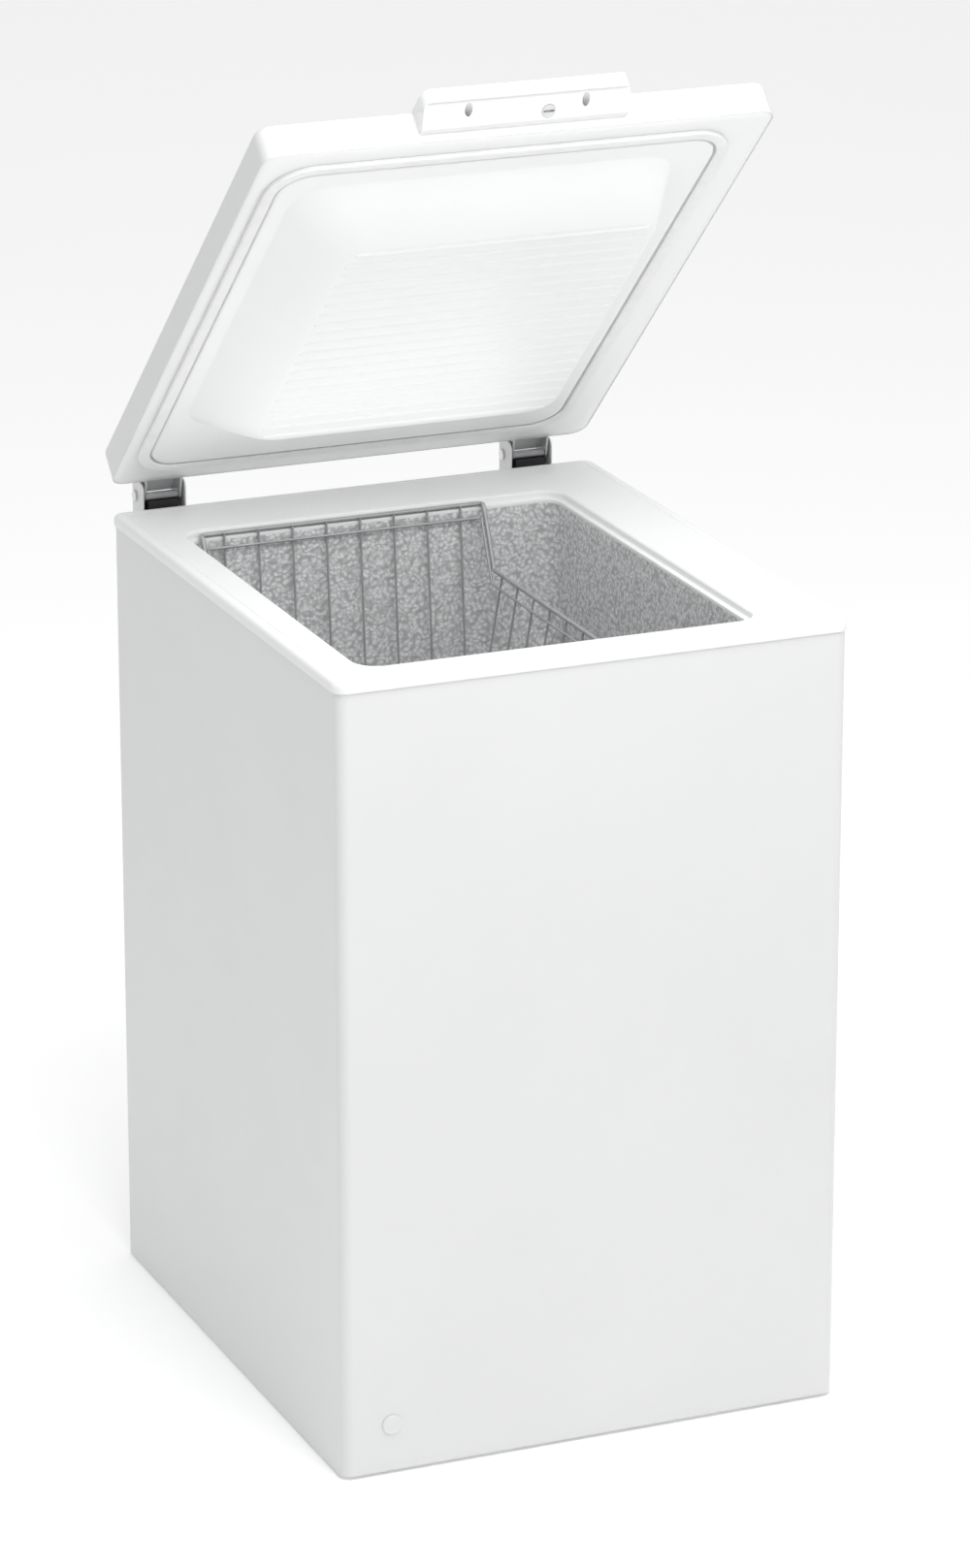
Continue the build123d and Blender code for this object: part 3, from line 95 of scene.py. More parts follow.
def base_finish(name, colour, roughness, metallic=0.0, coat=0.0, bounce=0.5):
    """A material with the plain values of its shader set."""
    material = bpy.data.materials.new(name)
    material.use_nodes = True
    shader = material.node_tree.nodes["Principled BSDF"]
    shader.inputs["Base Color"].default_value = (*colour, 1.0)
    shader.inputs["Roughness"].default_value = roughness
    shader.inputs["Metallic"].default_value = metallic
    shader.inputs["Coat Weight"].default_value = coat
    shader.inputs["Coat Roughness"].default_value = 0.12
    shader.inputs["Specular IOR Level"].default_value = bounce
    return material


def spread(material, stretch=(1.0, 1.0, 1.0)):
    """Object coordinates, in metres, stretched along the axes."""
    tree = material.node_tree
    place = tree.nodes.new("ShaderNodeTexCoord")
    scale = tree.nodes.new("ShaderNodeMapping")
    scale.inputs["Scale"].default_value = stretch
    tree.links.new(place.outputs["Object"], scale.inputs["Vector"])
    return scale.outputs["Vector"]


def cloud(material, size, detail=3.0, stretch=(1.0, 1.0, 1.0)):
    """Soft noise whose lumps are about size across, in metres."""
    tree = material.node_tree
    noise = tree.nodes.new("ShaderNodeTexNoise")
    noise.inputs["Scale"].default_value = 1.0 / size
    noise.inputs["Detail"].default_value = detail
    tree.links.new(spread(material, stretch), noise.inputs["Vector"])
    return noise.outputs["Fac"]


def grains(material, size):
    """Cells about size across, in metres."""
    tree = material.node_tree
    cells = tree.nodes.new("ShaderNodeTexVoronoi")
    cells.inputs["Scale"].default_value = 1.0 / size
    tree.links.new(spread(material), cells.inputs["Vector"])
    return cells.outputs["Distance"]


def colour_steps(material, fac, steps):
    """Runs a value through colours at given places and into the shader."""
    tree = material.node_tree
    ramp = tree.nodes.new("ShaderNodeValToRGB")
    while len(ramp.color_ramp.elements) < len(steps):
        ramp.color_ramp.elements.new(0.5)
    for element, (place, colour) in zip(ramp.color_ramp.elements, steps):
        element.position = place
        element.color = (*colour, 1.0)
    tree.links.new(fac, ramp.inputs["Fac"])
    tree.links.new(ramp.outputs["Color"], tree.nodes["Principled BSDF"].inputs["Base Color"])


def roughness_between(material, fac, low, high):
    """Lets the gloss wander between two values."""
    tree = material.node_tree
    change = tree.nodes.new("ShaderNodeMapRange")
    change.inputs["To Min"].default_value = low
    change.inputs["To Max"].default_value = high
    tree.links.new(fac, change.inputs["Value"])
    tree.links.new(change.outputs["Result"], tree.nodes["Principled BSDF"].inputs["Roughness"])


def relief(material, height, depth, strength):
    """Raises the surface by a height between 0 and 1 times depth, in metres, on top of any earlier relief."""
    tree = material.node_tree
    shader = tree.nodes["Principled BSDF"]
    bump = tree.nodes.new("ShaderNodeBump")
    bump.inputs["Distance"].default_value = depth
    bump.inputs["Strength"].default_value = strength
    tree.links.new(height, bump.inputs["Height"])
    if shader.inputs["Normal"].links:
        tree.links.new(shader.inputs["Normal"].links[0].from_socket, bump.inputs["Normal"])
    tree.links.new(bump.outputs["Normal"], shader.inputs["Normal"])


def shade(colour, amount):
    """The same colour, lighter or darker."""
    return tuple(min(1.0, max(0.0, c * amount)) for c in colour)


def enamel(colour):
    """White stove enamel on steel: low gloss, faint orange peel, a trace of dust and handling."""
    material = base_finish("stove_enamel", colour, 0.34, coat=0.25)
    colour_steps(material, cloud(material, 0.22, 5.0), ((0.3, shade(colour, 0.975)), (0.7, colour)))
    roughness_between(material, cloud(material, 0.05, 6.0), 0.28, 0.42)
    relief(material, cloud(material, 0.0035, 2.0), 0.00006, 0.5)
    relief(material, cloud(material, 0.16, 1.0), 0.0012, 0.25)
    return material


def moulding(name, colour, roughness=0.36):
    """Moulded white plastic: fine spark texture, slight depth to the light, small swirls of gloss."""
    material = base_finish(name, colour, roughness, bounce=0.45)
    shader = material.node_tree.nodes["Principled BSDF"]
    shader.inputs["Subsurface Weight"].default_value = 0.06
    shader.inputs["Subsurface Radius"].default_value = (0.004, 0.004, 0.0035)
    colour_steps(material, cloud(material, 0.12, 4.0), ((0.3, shade(colour, 0.98)), (0.7, colour)))
    roughness_between(material, cloud(material, 0.03, 5.0), roughness - 0.05, roughness + 0.09)
    relief(material, cloud(material, 0.0012, 3.0), 0.00005, 0.5)
    return material


def stucco(colour):
    """Embossed aluminium sheet with a rice grain pattern; its colour carries a painted highlight on each
    grain and painted shade in the hollows between them.
    """
    material = base_finish("stucco_aluminium", colour, 0.42, metallic=0.3)
    tree = material.node_tree
    bend = tree.nodes.new("ShaderNodeTexNoise")
    bend.inputs["Scale"].default_value = 55.0
    bend.inputs["Detail"].default_value = 2.0
    mix = tree.nodes.new("ShaderNodeVectorMath")
    mix.operation = "MULTIPLY_ADD"
    mix.inputs[1].default_value = (0.012, 0.012, 0.012)
    tree.links.new(spread(material), bend.inputs["Vector"])
    tree.links.new(bend.outputs["Color"], mix.inputs[0])
    tree.links.new(spread(material), mix.inputs[2])
    cells = tree.nodes.new("ShaderNodeTexVoronoi")
    cells.feature = "SMOOTH_F1"
    cells.inputs["Scale"].default_value = 215.0
    cells.inputs["Smoothness"].default_value = 0.35
    tree.links.new(mix.outputs["Vector"], cells.inputs["Vector"])
    # painted light: each grain's centre is painted lighter as a highlight and the hollows between grains are
    # painted darker as shade
    colour_steps(material, cells.outputs["Distance"],
                 ((0.1, shade(colour, 1.33)), (0.75, shade(colour, 0.72))))
    roughness_between(material, cloud(material, 0.04, 4.0), 0.34, 0.5)
    relief(material, cells.outputs["Distance"], 0.0009, 0.85)
    return material


def vinyl(colour):
    """Soft sealing strip."""
    material = base_finish("seal_vinyl", colour, 0.55, bounce=0.4)
    colour_steps(material, cloud(material, 0.02, 5.0), ((0.3, shade(colour, 0.94)), (0.7, colour)))
    roughness_between(material, cloud(material, 0.012, 4.0), 0.45, 0.66)
    relief(material, cloud(material, 0.0025, 3.0), 0.0001, 0.6)
    return material


def zinc(colour):
    """Zinc plated steel with small crystals and faint drawing lines."""
    material = base_finish("zinc_plate", colour, 0.38, metallic=1.0)
    colour_steps(material, grains(material, 0.012), ((0.0, shade(colour, 1.1)), (0.8, shade(colour, 0.86))))
    roughness_between(material, cloud(material, 0.006, 6.0, (1.0, 1.0, 0.15)), 0.3, 0.5)
    relief(material, cloud(material, 0.0012, 4.0, (1.0, 1.0, 0.1)), 0.00005, 0.6)
    return material


def plated(colour):
    """Bright plated steel."""
    material = base_finish("bright_plate", colour, 0.18, metallic=1.0)
    colour_steps(material, cloud(material, 0.01, 4.0), ((0.3, shade(colour, 0.92)), (0.7, colour)))
    roughness_between(material, cloud(material, 0.004, 5.0), 0.12, 0.26)
    relief(material, cloud(material, 0.0008, 2.0), 0.00002, 0.5)
    return material


def coated_wire(colour):
    """Plastic coated steel wire."""
    material = base_finish("coated_wire", colour, 0.4, metallic=0.35, coat=0.3)
    colour_steps(material, cloud(material, 0.015, 5.0),
                 ((0.3, shade(colour, 0.86)), (0.7, shade(colour, 1.05))))
    roughness_between(material, cloud(material, 0.008, 4.0), 0.3, 0.5)
    relief(material, cloud(material, 0.0025, 3.0), 0.00012, 0.6)
    return material


def rigid_foam(colour):
    """Poured rigid foam."""
    material = base_finish("rigid_foam", colour, 0.9, bounce=0.2)
    colour_steps(material, cloud(material, 0.03, 6.0), ((0.3, shade(colour, 0.88)), (0.7, colour)))
    relief(material, grains(material, 0.0025), 0.0006, 0.7)
    return material


def black_shell(colour):
    """Semi-gloss black enamel over pressed steel, with settled dust."""
    material = base_finish("compressor_enamel", colour, 0.3, coat=0.3)
    colour_steps(material, cloud(material, 0.03, 6.0), ((0.35, colour), (0.75, (0.075, 0.072, 0.068))))
    roughness_between(material, cloud(material, 0.02, 6.0), 0.22, 0.55)
    relief(material, cloud(material, 0.002, 3.0), 0.0001, 0.6)
    return material


def rubber(colour):
    """Matt black rubber."""
    material = base_finish("soft_black_rubber", colour, 0.82, bounce=0.3)
    colour_steps(material, cloud(material, 0.008, 5.0),
                 ((0.3, shade(colour, 0.8)), (0.7, shade(colour, 1.5))))
    relief(material, cloud(material, 0.0012, 4.0), 0.0002, 0.7)
    return material


def dark_plastic(name, colour, roughness=0.5):
    """Moulded plastic with a fine etched texture."""
    material = base_finish(name, colour, roughness, bounce=0.4)
    colour_steps(material, cloud(material, 0.02, 5.0),
                 ((0.3, shade(colour, 0.88)), (0.7, shade(colour, 1.08))))
    roughness_between(material, cloud(material, 0.01, 4.0), roughness - 0.07, roughness + 0.08)
    relief(material, grains(material, 0.0011), 0.00008, 0.5)
    return material


def copper(colour):
    """Drawn copper pipe, a little tarnished."""
    material = base_finish("drawn_copper", colour, 0.32, metallic=1.0)
    colour_steps(material, cloud(material, 0.02, 7.0),
                 ((0.3, shade(colour, 0.62)), (0.55, colour), (0.8, shade(colour, 1.15))))
    roughness_between(material, cloud(material, 0.01, 5.0), 0.24, 0.5)
    relief(material, cloud(material, 0.0015, 4.0), 0.00006, 0.6)
    return material


def lens(name, colour):
    """Clear coloured lens with a ribbed diffuser inside."""
    material = base_finish(name, colour, 0.16, coat=0.6)
    colour_steps(material, grains(material, 0.0014), ((0.0, shade(colour, 1.3)), (0.7, shade(colour, 0.7))))
    relief(material, grains(material, 0.0014), 0.0002, 0.4)
    return material


DRESSED = set()


def dress(material, *nodes):
    """Gives nodes of the frame their material."""
    for name in nodes:
        DRESSED.add(name)
        mesh = frame["nodes"][name].data
        mesh.materials.clear()
        mesh.materials.append(material)


# ---- mesh helpers ------------------------------------------------------------------------


def rounded_ring(bm, x, y, z, r, steps):
    """Edges of a flat rounded rectangle between two x and two y values."""
    before = set(bm.faces)
    verts = bmesh.ops.create_grid(bm, x_segments=1, y_segments=1, size=0.5)["verts"]
    bmesh.ops.scale(bm, vec=(x[1] - x[0], y[1] - y[0], 1.0), verts=verts)
    bmesh.ops.translate(bm, vec=((x[0] + x[1]) / 2, (y[0] + y[1]) / 2, z), verts=verts)
    bmesh.ops.bevel(bm, geom=verts, offset=r, offset_type="OFFSET", segments=steps, profile=0.5,
                    affect="VERTICES", material=-1)
    face = next(f for f in bm.faces if f not in before)
    edges = list(face.edges)
    bmesh.ops.delete(bm, geom=[face], context="FACES_ONLY")
    return edges


def fit_ring(verts, old, new):
    """Moves points from one rounded outline onto another, each round its own corner."""
    (old_x, old_y, _, old_r), (new_x, new_y, z, new_r) = old, new
    for v in verts:
        right, back = v.co.x > sum(old_x) / 2, v.co.y > sum(old_y) / 2
        sx, sy = (1 if right else -1), (1 if back else -1)
        turn_x = (v.co.x - old_x[right] + sx * old_r) / old_r
        turn_y = (v.co.y - old_y[back] + sy * old_r) / old_r
        v.co = (new_x[right] + (turn_x - sx) * new_r, new_y[back] + (turn_y - sy) * new_r, z)


def stack_rings(bm, rings, steps=10, closed=False):
    """Extrudes a rounded outline through others (x span, y span, z, radius), all in metres.

    The ends are filled, or the last outline is joined to the first."""
    edges = rounded_ring(bm, *rings[0], steps)
    if not closed:
        bmesh.ops.contextual_create(bm, geom=edges)
    course = rings + rings[:1] if closed else rings
    for old, new in zip(course, course[1:]):
        made = bmesh.ops.extrude_edge_only(bm, edges=edges)["geom"]
        edges = [g for g in made if isinstance(g, bmesh.types.BMEdge)]
        fit_ring([g for g in made if isinstance(g, bmesh.types.BMVert)], old, new)
    if not closed:
        bmesh.ops.contextual_create(bm, geom=edges)


def grown(span, amount):
    """The same span, let out at both ends by amount."""
    return (span[0] - amount, span[1] + amount)


def swell(bm, x, y, z, half, rise, steps=6):
    """Long soft rib along X that hangs below z, with rounded ends."""
    rows = []
    # share of the full height at each place along the rib
    for k, end in ((0.0, x[0] - half), (0.55, x[0] - 0.6 * half), (0.9, x[0] - 0.2 * half),
                   (1.0, x[0] + half), (1.0, x[1] - half), (0.9, x[1] + 0.2 * half),
                   (0.55, x[1] + 0.6 * half), (0.0, x[1] + half)):
        row = []
        for n in range(steps + 1):
            across = 2 * n / steps - 1
            wide = half * (0.25 + 0.75 * k)
            fall = (1 - across * across) ** 2 * rise * k
            row.append(bm.verts.new((end, y + across * wide, z - fall)))
        rows.append(row)
    for near, far in zip(rows, rows[1:]):
        for n in range(steps):
            bm.faces.new((near[n], near[n + 1], far[n + 1], far[n]))
    # a short skirt sinks the rib's foot into the field
    foot = [r[0] for r in rows] + rows[-1][1:] + [r[-1] for r in reversed(rows[:-1])] + rows[0][-2:0:-1]
    edges = [e for e in bm.edges if e.is_boundary and e.verts[0] in foot and e.verts[1] in foot]
    down = bmesh.ops.extrude_edge_only(bm, edges=edges)["geom"]
    bmesh.ops.translate(bm, vec=(0.0, 0.0, 0.6 * MM),
                        verts=[g for g in down if isinstance(g, bmesh.types.BMVert)])
    bmesh.ops.contextual_create(bm, geom=[g for g in down if isinstance(g, bmesh.types.BMEdge)])


def make_piece(name, bm, material, body, nodes=(), place=None, sharp=40.0, join=True):
    """Closes a bmesh into a finished piece that rides on a body and may stand for frame nodes."""
    if join:
        bmesh.ops.remove_doubles(bm, verts=bm.verts, dist=1e-6)
    bmesh.ops.recalc_face_normals(bm, faces=bm.faces)
    if place is not None:
        bmesh.ops.transform(bm, matrix=place, verts=bm.verts)
    for face in bm.faces:
        face.smooth = True
    mesh = bpy.data.meshes.new(name)
    bm.to_mesh(mesh)
    bm.free()
    mesh.set_sharp_from_angle(angle=radians(sharp))
    mesh.materials.append(material)
    piece = bpy.data.objects.new(name, mesh)
    bpy.context.scene.collection.objects.link(piece)
    if nodes:
        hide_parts(*nodes)
    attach(piece, body)
    return piece


# ---- settings ----------------------------------------------------------------------------


class FreezerSizes(bpy.types.PropertyGroup):
    """Sizes of the pieces that are made here."""
    rib_count: bpy.props.IntProperty(name="Lid ribs", description="Ribs across the lid's lining", default=20)
    rib_width: bpy.props.FloatProperty(name="Rib width", description="Width of one rib", default=0.0095,
                                       unit="LENGTH")
    rib_rise: bpy.props.FloatProperty(name="Rib height", description="Height of one rib", default=0.0019,
                                      unit="LENGTH")
    lining_step: bpy.props.FloatProperty(name="Lining step",
                                         description="Height of the field inside the seal",
                                         default=0.0045, unit="LENGTH")
    rim_line: bpy.props.FloatProperty(name="Rim line",
                                      description="Line pressed into the rim, in from its edge",
                                      default=0.0125, unit="LENGTH")
    corner_steps: bpy.props.IntProperty(name="Corner steps", description="Edges round each moulded corner",
                                        default=12)


class FreezerColours(bpy.types.PropertyGroup):
    """Colours of the finishes."""
    enamel: bpy.props.FloatVectorProperty(name="Enamel", description="Painted steel", subtype="COLOR",
                                          default=(0.675, 0.68, 0.677))
    plastic: bpy.props.FloatVectorProperty(name="White plastic", description="Rim, lid lining and handle",
                                           subtype="COLOR", default=(0.80, 0.805, 0.803))
    lining: bpy.props.FloatVectorProperty(name="Lining", description="Embossed aluminium", subtype="COLOR",
                                          default=(0.74, 0.745, 0.75))
    seal: bpy.props.FloatVectorProperty(name="Seal", description="Lid seal", subtype="COLOR",
                                        default=(0.78, 0.785, 0.78))
    wire: bpy.props.FloatVectorProperty(name="Basket wire", description="Coated wire", subtype="COLOR",
                                        default=(0.40, 0.405, 0.41))


# ---- operators ---------------------------------------------------------------------------


class FREEZER_OT_stage(bpy.types.Operator):
    """Pale floor, soft lights and the camera"""
    bl_idname = "freezer.stage"
    bl_label = "Stage"

    def execute(self, context):
        scene = context.scene
        bm = bmesh.new()
        bmesh.ops.create_grid(bm, x_segments=1, y_segments=1, size=FLOOR_HALF)
        mesh = bpy.data.meshes.new("floor")
        bm.to_mesh(mesh)
        bm.free()
        floor = bpy.data.objects.new("floor", mesh)
        scene.collection.objects.link(floor)
        paint = base_finish("pale_floor", (0.95, 0.95, 0.95), 0.8, bounce=0.1)
        colour_steps(paint, cloud(paint, 1.5), ((0.3, (0.945, 0.945, 0.945)), (0.7, (0.955, 0.955, 0.955))))
        glow = paint.node_tree.nodes["Principled BSDF"]
        glow.inputs["Emission Color"].default_value = (1.0, 1.0, 1.0, 1.0)
        glow.inputs["Emission Strength"].default_value = 0.22
        mesh.materials.append(paint)
        world = bpy.data.worlds.new("soft_room")
        world.use_nodes = True
        sky = world.node_tree
        place = sky.nodes.new("ShaderNodeTexCoord")
        split = sky.nodes.new("ShaderNodeSeparateXYZ")
        side = sky.nodes.new("ShaderNodeValToRGB")
        # a little darker to the left of the freezer
        side.color_ramp.elements[0].position = 0.0
        side.color_ramp.elements[0].color = (0.70, 0.705, 0.71, 1.0)
        side.color_ramp.elements[1].position = 0.75
        side.color_ramp.elements[1].color = (1.0, 1.0, 1.0, 1.0)
        half = sky.nodes.new("ShaderNodeMapRange")
        half.inputs["From Min"].default_value = -1.0
        sky.links.new(place.outputs["Generated"], split.inputs["Vector"])
        sky.links.new(split.outputs["X"], half.inputs["Value"])
        sky.links.new(half.outputs["Result"], side.inputs["Fac"])
        sky.links.new(side.outputs["Color"], sky.nodes["Background"].inputs["Color"])
        sky.nodes["Background"].inputs["Strength"].default_value = 0.76
        scene.world = world
        scene.view_settings.view_transform = "Standard"
        for name, spot, size, power, mark in LIGHTS:
            light = bpy.data.lights.new(name, "AREA")
            light.shape = "SQUARE"
            light.size = size
            light.energy = power
            lamp = bpy.data.objects.new(name, light)
            lamp.location = spot
            aim = Vector(mark) - Vector(spot)
            lamp.rotation_mode = "QUATERNION"
            lamp.rotation_quaternion = aim.to_track_quat("-Z", "Y")
            lamp.visible_camera = False
            scene.collection.objects.link(lamp)
        eye = bpy.data.cameras.new("camera")
        eye.lens = CAMERA_LENS
        eye.sensor_width = CAMERA_SENSOR
        camera = bpy.data.objects.new("camera", eye)
        camera.location = CAMERA_AT
        turn, dip = radians(CAMERA_TURN), radians(CAMERA_DIP)
        look = Vector((sin(turn) * cos(dip), cos(turn) * cos(dip), -sin(dip)))
        camera.rotation_mode = "QUATERNION"
        camera.rotation_quaternion = look.to_track_quat("-Z", "Y")
        scene.collection.objects.link(camera)
        scene.camera = camera
        return {"FINISHED"}


class FREEZER_OT_finishes(bpy.types.Operator):
    """Gives every node of the frame its material"""
    bl_idname = "freezer.finishes"
    bl_label = "Finishes"

    def execute(self, context):
        colours = context.scene.freezer_colours
        white = enamel(tuple(colours.enamel))
        plastic = moulding("white_moulding", tuple(colours.plastic))
        plate = zinc((0.62, 0.63, 0.64))
        black_rubber = rubber((0.022, 0.022, 0.023))
        black = dark_plastic("black_moulding", (0.022, 0.022, 0.024))
        grey = dark_plastic("grey_moulding", (0.36, 0.365, 0.37))
        pipe = copper((0.66, 0.34, 0.21))
        wire = coated_wire(tuple(colours.wire))
        foam = rigid_foam((0.80, 0.70, 0.42))
        dress(white, "outer_wrapper", "back_panel", "hinge_channel_left", "hinge_channel_right",
              "lid_outer_shell", "drain_cap")
        dress(plastic, "top_frame", "lid_inner_panel", "lid_handle", "service_grille", "control_bezel",
              "thermostat_knob", "drain_plug")
        dress(stucco(tuple(colours.lining)), "inner_liner")
        dress(vinyl(tuple(colours.seal)), "lid_gasket")
        dress(plate, "base_pan", "bay_bulkhead", "condenser_coil", "compressor_bolts", "hinge_spring_left",
              "hinge_spring_right", "hinge_arm_left", "hinge_arm_right", "hinge_screws",
              "hinge_arm_screws", "handle_screws")
        dress(plated((0.70, 0.70, 0.71)), "hinge_pin_left", "hinge_pin_right", "lock_barrel")
        dress(black_rubber, "foot_front_left", "foot_front_right", "foot_rear_left", "foot_rear_right",
              "compressor_grommets", "cord_gland")
        dress(black, "relay_cover", "spring_seat_left", "spring_seat_right", "hinge_plunger_left",
              "hinge_plunger_right")
        dress(grey, "drain_pipe", "thermostat", "hinge_roller_left", "hinge_roller_right")
        dress(pipe, "evaporator_coil", "discharge_pipe", "suction_pipe", "filter_drier")
        dress(wire, "basket_rim", "basket_second_rim", "basket_long_wires", "basket_cross_wires")
        dress(foam, "body_insulation", "lid_insulation")
        dress(black_shell((0.018, 0.018, 0.019)), "compressor")
        dress(lens("green_lens", (0.05, 0.42, 0.10)), "power_lamp")
        dress(lens("red_lens", (0.55, 0.03, 0.025)), "alarm_lamp")
        undressed = [n for n in frame["nodes"] if n not in DRESSED]
        if undressed:
            raise RuntimeError("no finish on " + ", ".join(undressed))
        return {"FINISHED"}


class FREEZER_OT_rim(bpy.types.Operator):
    """Moulded rim round the opening, with its rolled edge, pressed line and basket ledge"""
    bl_idname = "freezer.rim"
    bl_label = "Rim"

    def execute(self, context):
        sizes = context.scene.freezer_sizes
        low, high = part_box("top_frame")
        lining_low, lining_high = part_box("inner_liner")
        x, y, top = (low.x, high.x), (low.y, high.y), high.z
        well_x = (lining_low.x + LINING_WALL, lining_high.x - LINING_WALL)
        well_y = (lining_low.y + LINING_WALL, lining_high.y - LINING_WALL)
        mouth_x, mouth_y = grown(well_x, LEDGE_W), grown(well_y, LEDGE_W)
        outer_r, mouth_r, well_r = 14 * MM, 26 * MM, 20 * MM
        line = sizes.rim_line
        rings = [(grown(x, -a), grown(y, -a), top - d, outer_r - a) for a, d in (
            (2.6 * MM, 11.9 * MM), (0.9 * MM, 12.0 * MM), (0.2 * MM, 11.6 * MM), (0.0, 10.6 * MM),
            (0.0, 5.2 * MM), (0.35 * MM, 3.4 * MM), (1.25 * MM, 1.8 * MM), (2.6 * MM, 0.65 * MM),
            (4.4 * MM, 0.1 * MM), (6.0 * MM, 0.0))]
        rings += [(grown(x, -a), grown(y, -a), top - d, max(outer_r - a, 2 * MM)) for a, d in (
            (line - 0.9 * MM, 0.0), (line - 0.3 * MM, 0.6 * MM), (line + 0.3 * MM, 0.6 * MM),
            (line + 0.9 * MM, 0.0))]
        rings += [(grown(mouth_x, a), grown(mouth_y, a), top - d, mouth_r + a) for a, d in (
            (4.0 * MM, 0.0), (1.9 * MM, 0.35 * MM), (0.6 * MM, 1.4 * MM), (0.0, 3.2 * MM), (0.0, 7.0 * MM),
            (-0.5 * MM, 7.8 * MM), (-1.6 * MM, 8.0 * MM))]
        rings += [(grown(well_x, a), grown(well_y, a), top - d, well_r + a) for a, d in (
            (1.6 * MM, 8.0 * MM), (0.4 * MM, 8.5 * MM), (0.0, 9.6 * MM), (0.0, 12.0 * MM))]
        bm = bmesh.new()
        stack_rings(bm, rings, sizes.corner_steps, closed=True)
        make_piece("moulded_rim", bm, bpy.data.materials["white_moulding"], "cabinet",
                   ("top_frame",), sharp=35.0)
        return {"FINISHED"}


class FREEZER_OT_lid_lining(bpy.types.Operator):
    """Vacuum formed lining of the lid, with its stepped border, long slopes and ribbed field"""
    bl_idname = "freezer.lid_lining"
    bl_label = "Lid lining"

    def execute(self, context):
        sizes = context.scene.freezer_sizes
        low, high = shut_box("lid_inner_panel")
        seal_low, seal_high = shut_box("lid_gasket")
        x, y = (low.x, high.x), (low.y, high.y)
        step_x = (seal_low.x + SEAL_W, seal_high.x - SEAL_W)
        step_y = (seal_low.y + SEAL_W, seal_high.y - SEAL_W)
        lining_low, lining_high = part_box("inner_liner")
        pin_y = hinge["pos_m"][1]
        # clear of the metal lining's walls with the lid shut, most at the back
        dish_x = (lining_low.x + LINING_WALL + 3 * MM, lining_high.x - LINING_WALL - 3 * MM)
        dish_y = (lining_low.y + LINING_WALL + 9 * MM - pin_y, lining_high.y - LINING_WALL - 21 * MM - pin_y)
        field_x = (dish_x[0] + 68 * MM, dish_x[1] - 3 * MM)
        field_y = (dish_y[0] + 82 * MM, dish_y[1] - 2 * MM)
        step, deep = sizes.lining_step, -low.z - 1 * MM
        rings = [(grown(x, -a), grown(y, -a), z, 17 * MM - a) for a, z in (
            (0.2 * MM, 1.6 * MM), (0.2 * MM, 0.6 * MM), (0.8 * MM, 0.0), (7 * MM, -0.15 * MM),
            (8 * MM, -0.4 * MM), (11 * MM, -0.4 * MM))]
        rings += [(grown(step_x, a), grown(step_y, a), z, STEP_R + a) for a, z in (
            (3.0 * MM, 0.0), (1.0 * MM, 0.0), (0.4 * MM, -0.5 * MM), (-0.2 * MM, -step + 1.4 * MM),
            (-1.0 * MM, -step + 0.35 * MM), (-2.4 * MM, -step), (-6.0 * MM, -step))]
        rings += [(grown(dish_x, a), grown(dish_y, a), z, 40 * MM + a) for a, z in (
            (4.0 * MM, -step), (2.0 * MM, -step - 0.2 * MM), (0.6 * MM, -step - LIP))]
        for n in range(1, SLOPE_STEPS + 1):
            t = n / SLOPE_STEPS
            # steep at the border, then a long swell up to the field
            rise = 0.62 * t + 0.38 * sin(t * pi / 2)
            side = (dish_x[0] + (field_x[0] - dish_x[0]) * t, dish_x[1] + (field_x[1] - dish_x[1]) * t)
            length = (dish_y[0] + (field_y[0] - dish_y[0]) * t, dish_y[1] + (field_y[1] - dish_y[1]) * t)
            rings.append((side, length, -step - LIP - (deep - step - LIP) * rise, (40 - 10 * t) * MM))
        rings += [(grown(field_x, -1.5 * MM), grown(field_y, -1.5 * MM), -deep - 0.25 * MM, 28.5 * MM),
                  (grown(field_x, -4 * MM), grown(field_y, -4 * MM), -deep - 0.3 * MM, 26 * MM)]
        bm = bmesh.new()
        stack_rings(bm, rings, sizes.corner_steps)
        panel = make_piece("lid_lining", bm, bpy.data.materials["white_moulding"], "lid",
                           ("lid_inner_panel",), LID_OPEN, sharp=50.0)
        panel["sheet"] = "vacuum formed"

        bm = bmesh.new()
        count = sizes.rib_count
        for n in range(count):
            y_mid = field_y[0] + (n + 0.5) * (field_y[1] - field_y[0]) / count
            near = min(abs(y_mid - field_y[0]), abs(field_y[1] - y_mid))
            short = max(0.0, 20 * MM - near) * 0.6
            swell(bm, (field_x[0] + 9 * MM + short, field_x[1] - 7 * MM - short), y_mid, -deep,
                  sizes.rib_width / 2, sizes.rib_rise)
        ribs = make_piece("lid_lining_ribs", bm, bpy.data.materials["white_moulding"], "lid",
                          (), LID_OPEN, sharp=75.0, join=False)
        ribs["sheet"] = "vacuum formed"
        return {"FINISHED"}


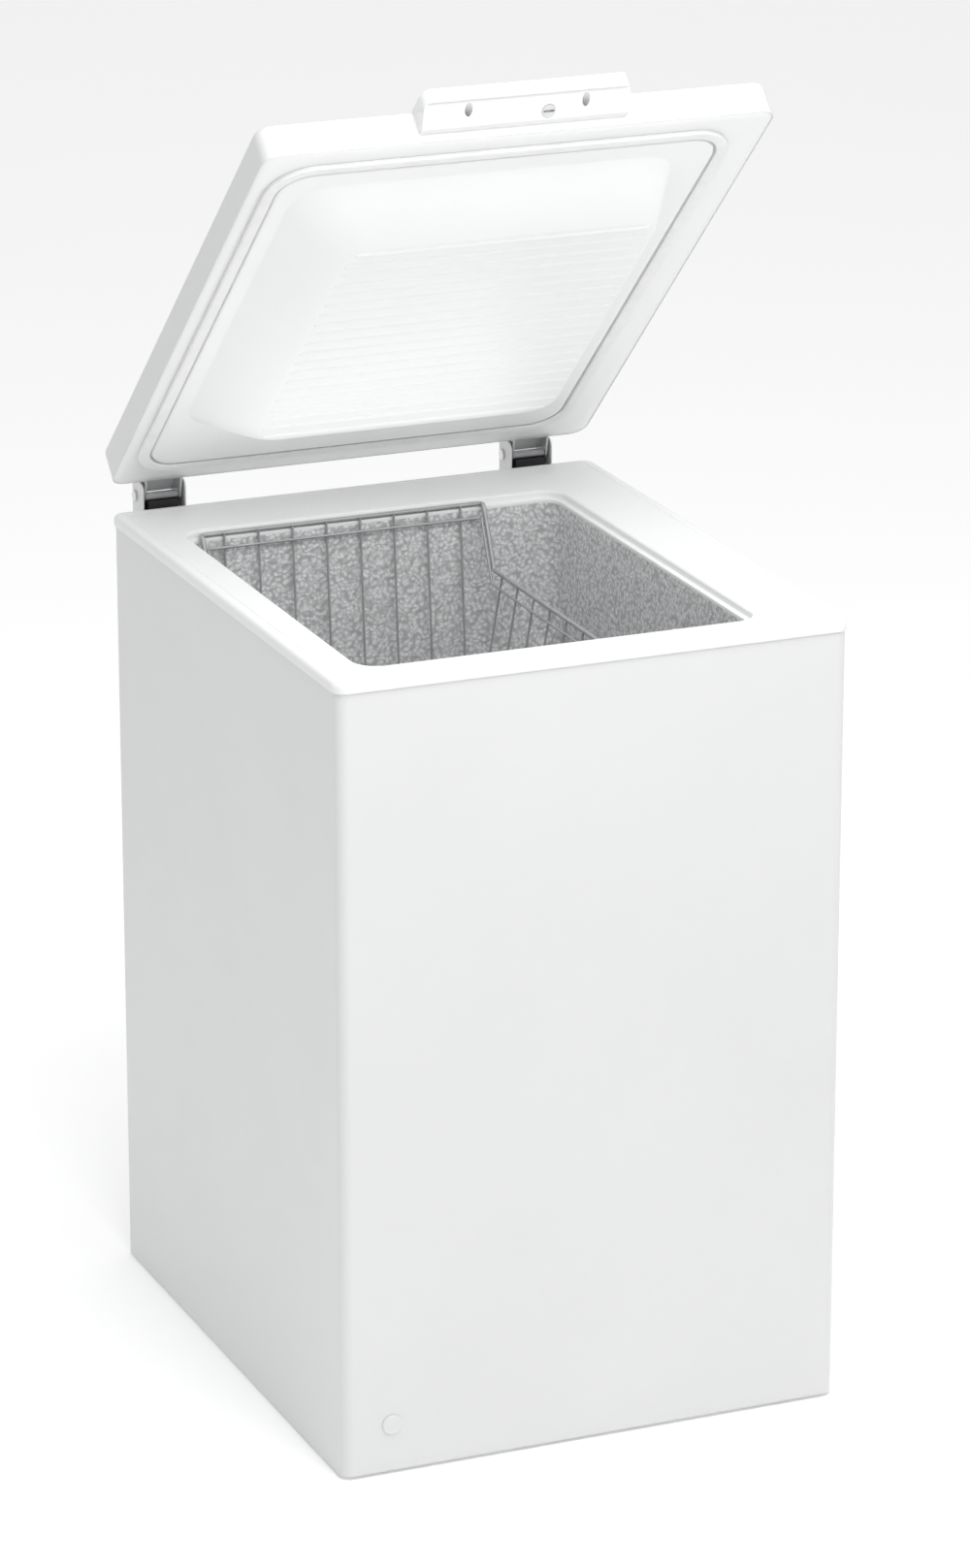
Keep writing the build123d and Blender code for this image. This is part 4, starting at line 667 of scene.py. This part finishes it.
class FREEZER_OT_seal(bpy.types.Operator):
    """Seal round the lid, with its bellows and flat magnetic face"""
    bl_idname = "freezer.seal"
    bl_label = "Seal"

    def execute(self, context):
        steps = context.scene.freezer_sizes.corner_steps
        low, high = shut_box("lid_gasket")
        x, y = (low.x, high.x), (low.y, high.y)
        outside = STEP_R + SEAL_W
        rings = [(grown(x, -a), grown(y, -a), z, outside - a) for a, z in (
            (1.5 * MM, 0.0), (0.6 * MM, -0.5 * MM), (0.2 * MM, -1.2 * MM), (1.1 * MM, -2.0 * MM),
            (0.3 * MM, -2.8 * MM), (0.0, -3.6 * MM), (0.3 * MM, -4.6 * MM), (1.2 * MM, -5.3 * MM),
            (3.0 * MM, -5.5 * MM), (6.0 * MM, -5.45 * MM), (9.5 * MM, -5.5 * MM), (11.4 * MM, -5.2 * MM),
            (12.4 * MM, -4.4 * MM), (12.6 * MM, -3.4 * MM), (12.0 * MM, -2.7 * MM), (11.3 * MM, -2.0 * MM),
            (12.4 * MM, -1.2 * MM), (12.8 * MM, -0.4 * MM), (12.2 * MM, 0.0))]
        bm = bmesh.new()
        stack_rings(bm, rings, steps, closed=True)
        make_piece("lid_seal", bm, bpy.data.materials["seal_vinyl"], "lid", ("lid_gasket",), LID_OPEN,
                   sharp=60.0)
        return {"FINISHED"}


class FREEZER_PT_tools(bpy.types.Panel):
    """Freezer tools"""
    bl_label = "Chest Freezer"
    bl_idname = "FREEZER_PT_tools"
    bl_space_type = "VIEW_3D"
    bl_region_type = "UI"
    bl_category = "Freezer"

    def draw(self, context):
        for group in (context.scene.freezer_sizes, context.scene.freezer_colours):
            for name in group.bl_rna.properties.keys():
                if name not in ("rna_type", "name"):
                    self.layout.prop(group, name)
        for tool in OPERATORS:
            self.layout.operator(tool.bl_idname)


OPERATORS = (FREEZER_OT_stage, FREEZER_OT_finishes, FREEZER_OT_rim, FREEZER_OT_lid_lining, FREEZER_OT_seal)
CLASSES = (FreezerSizes, FreezerColours, *OPERATORS, FREEZER_PT_tools)


def register():
    for cls in CLASSES:
        bpy.utils.register_class(cls)
    bpy.types.Scene.freezer_sizes = bpy.props.PointerProperty(type=FreezerSizes)
    bpy.types.Scene.freezer_colours = bpy.props.PointerProperty(type=FreezerColours)


def unregister():
    del bpy.types.Scene.freezer_colours
    del bpy.types.Scene.freezer_sizes
    for cls in reversed(CLASSES):
        bpy.utils.unregister_class(cls)


def main():
    register()
    for tool in OPERATORS:
        group, name = tool.bl_idname.split(".")
        getattr(getattr(bpy.ops, group), name)()


if __name__ == "__main__":
    main()
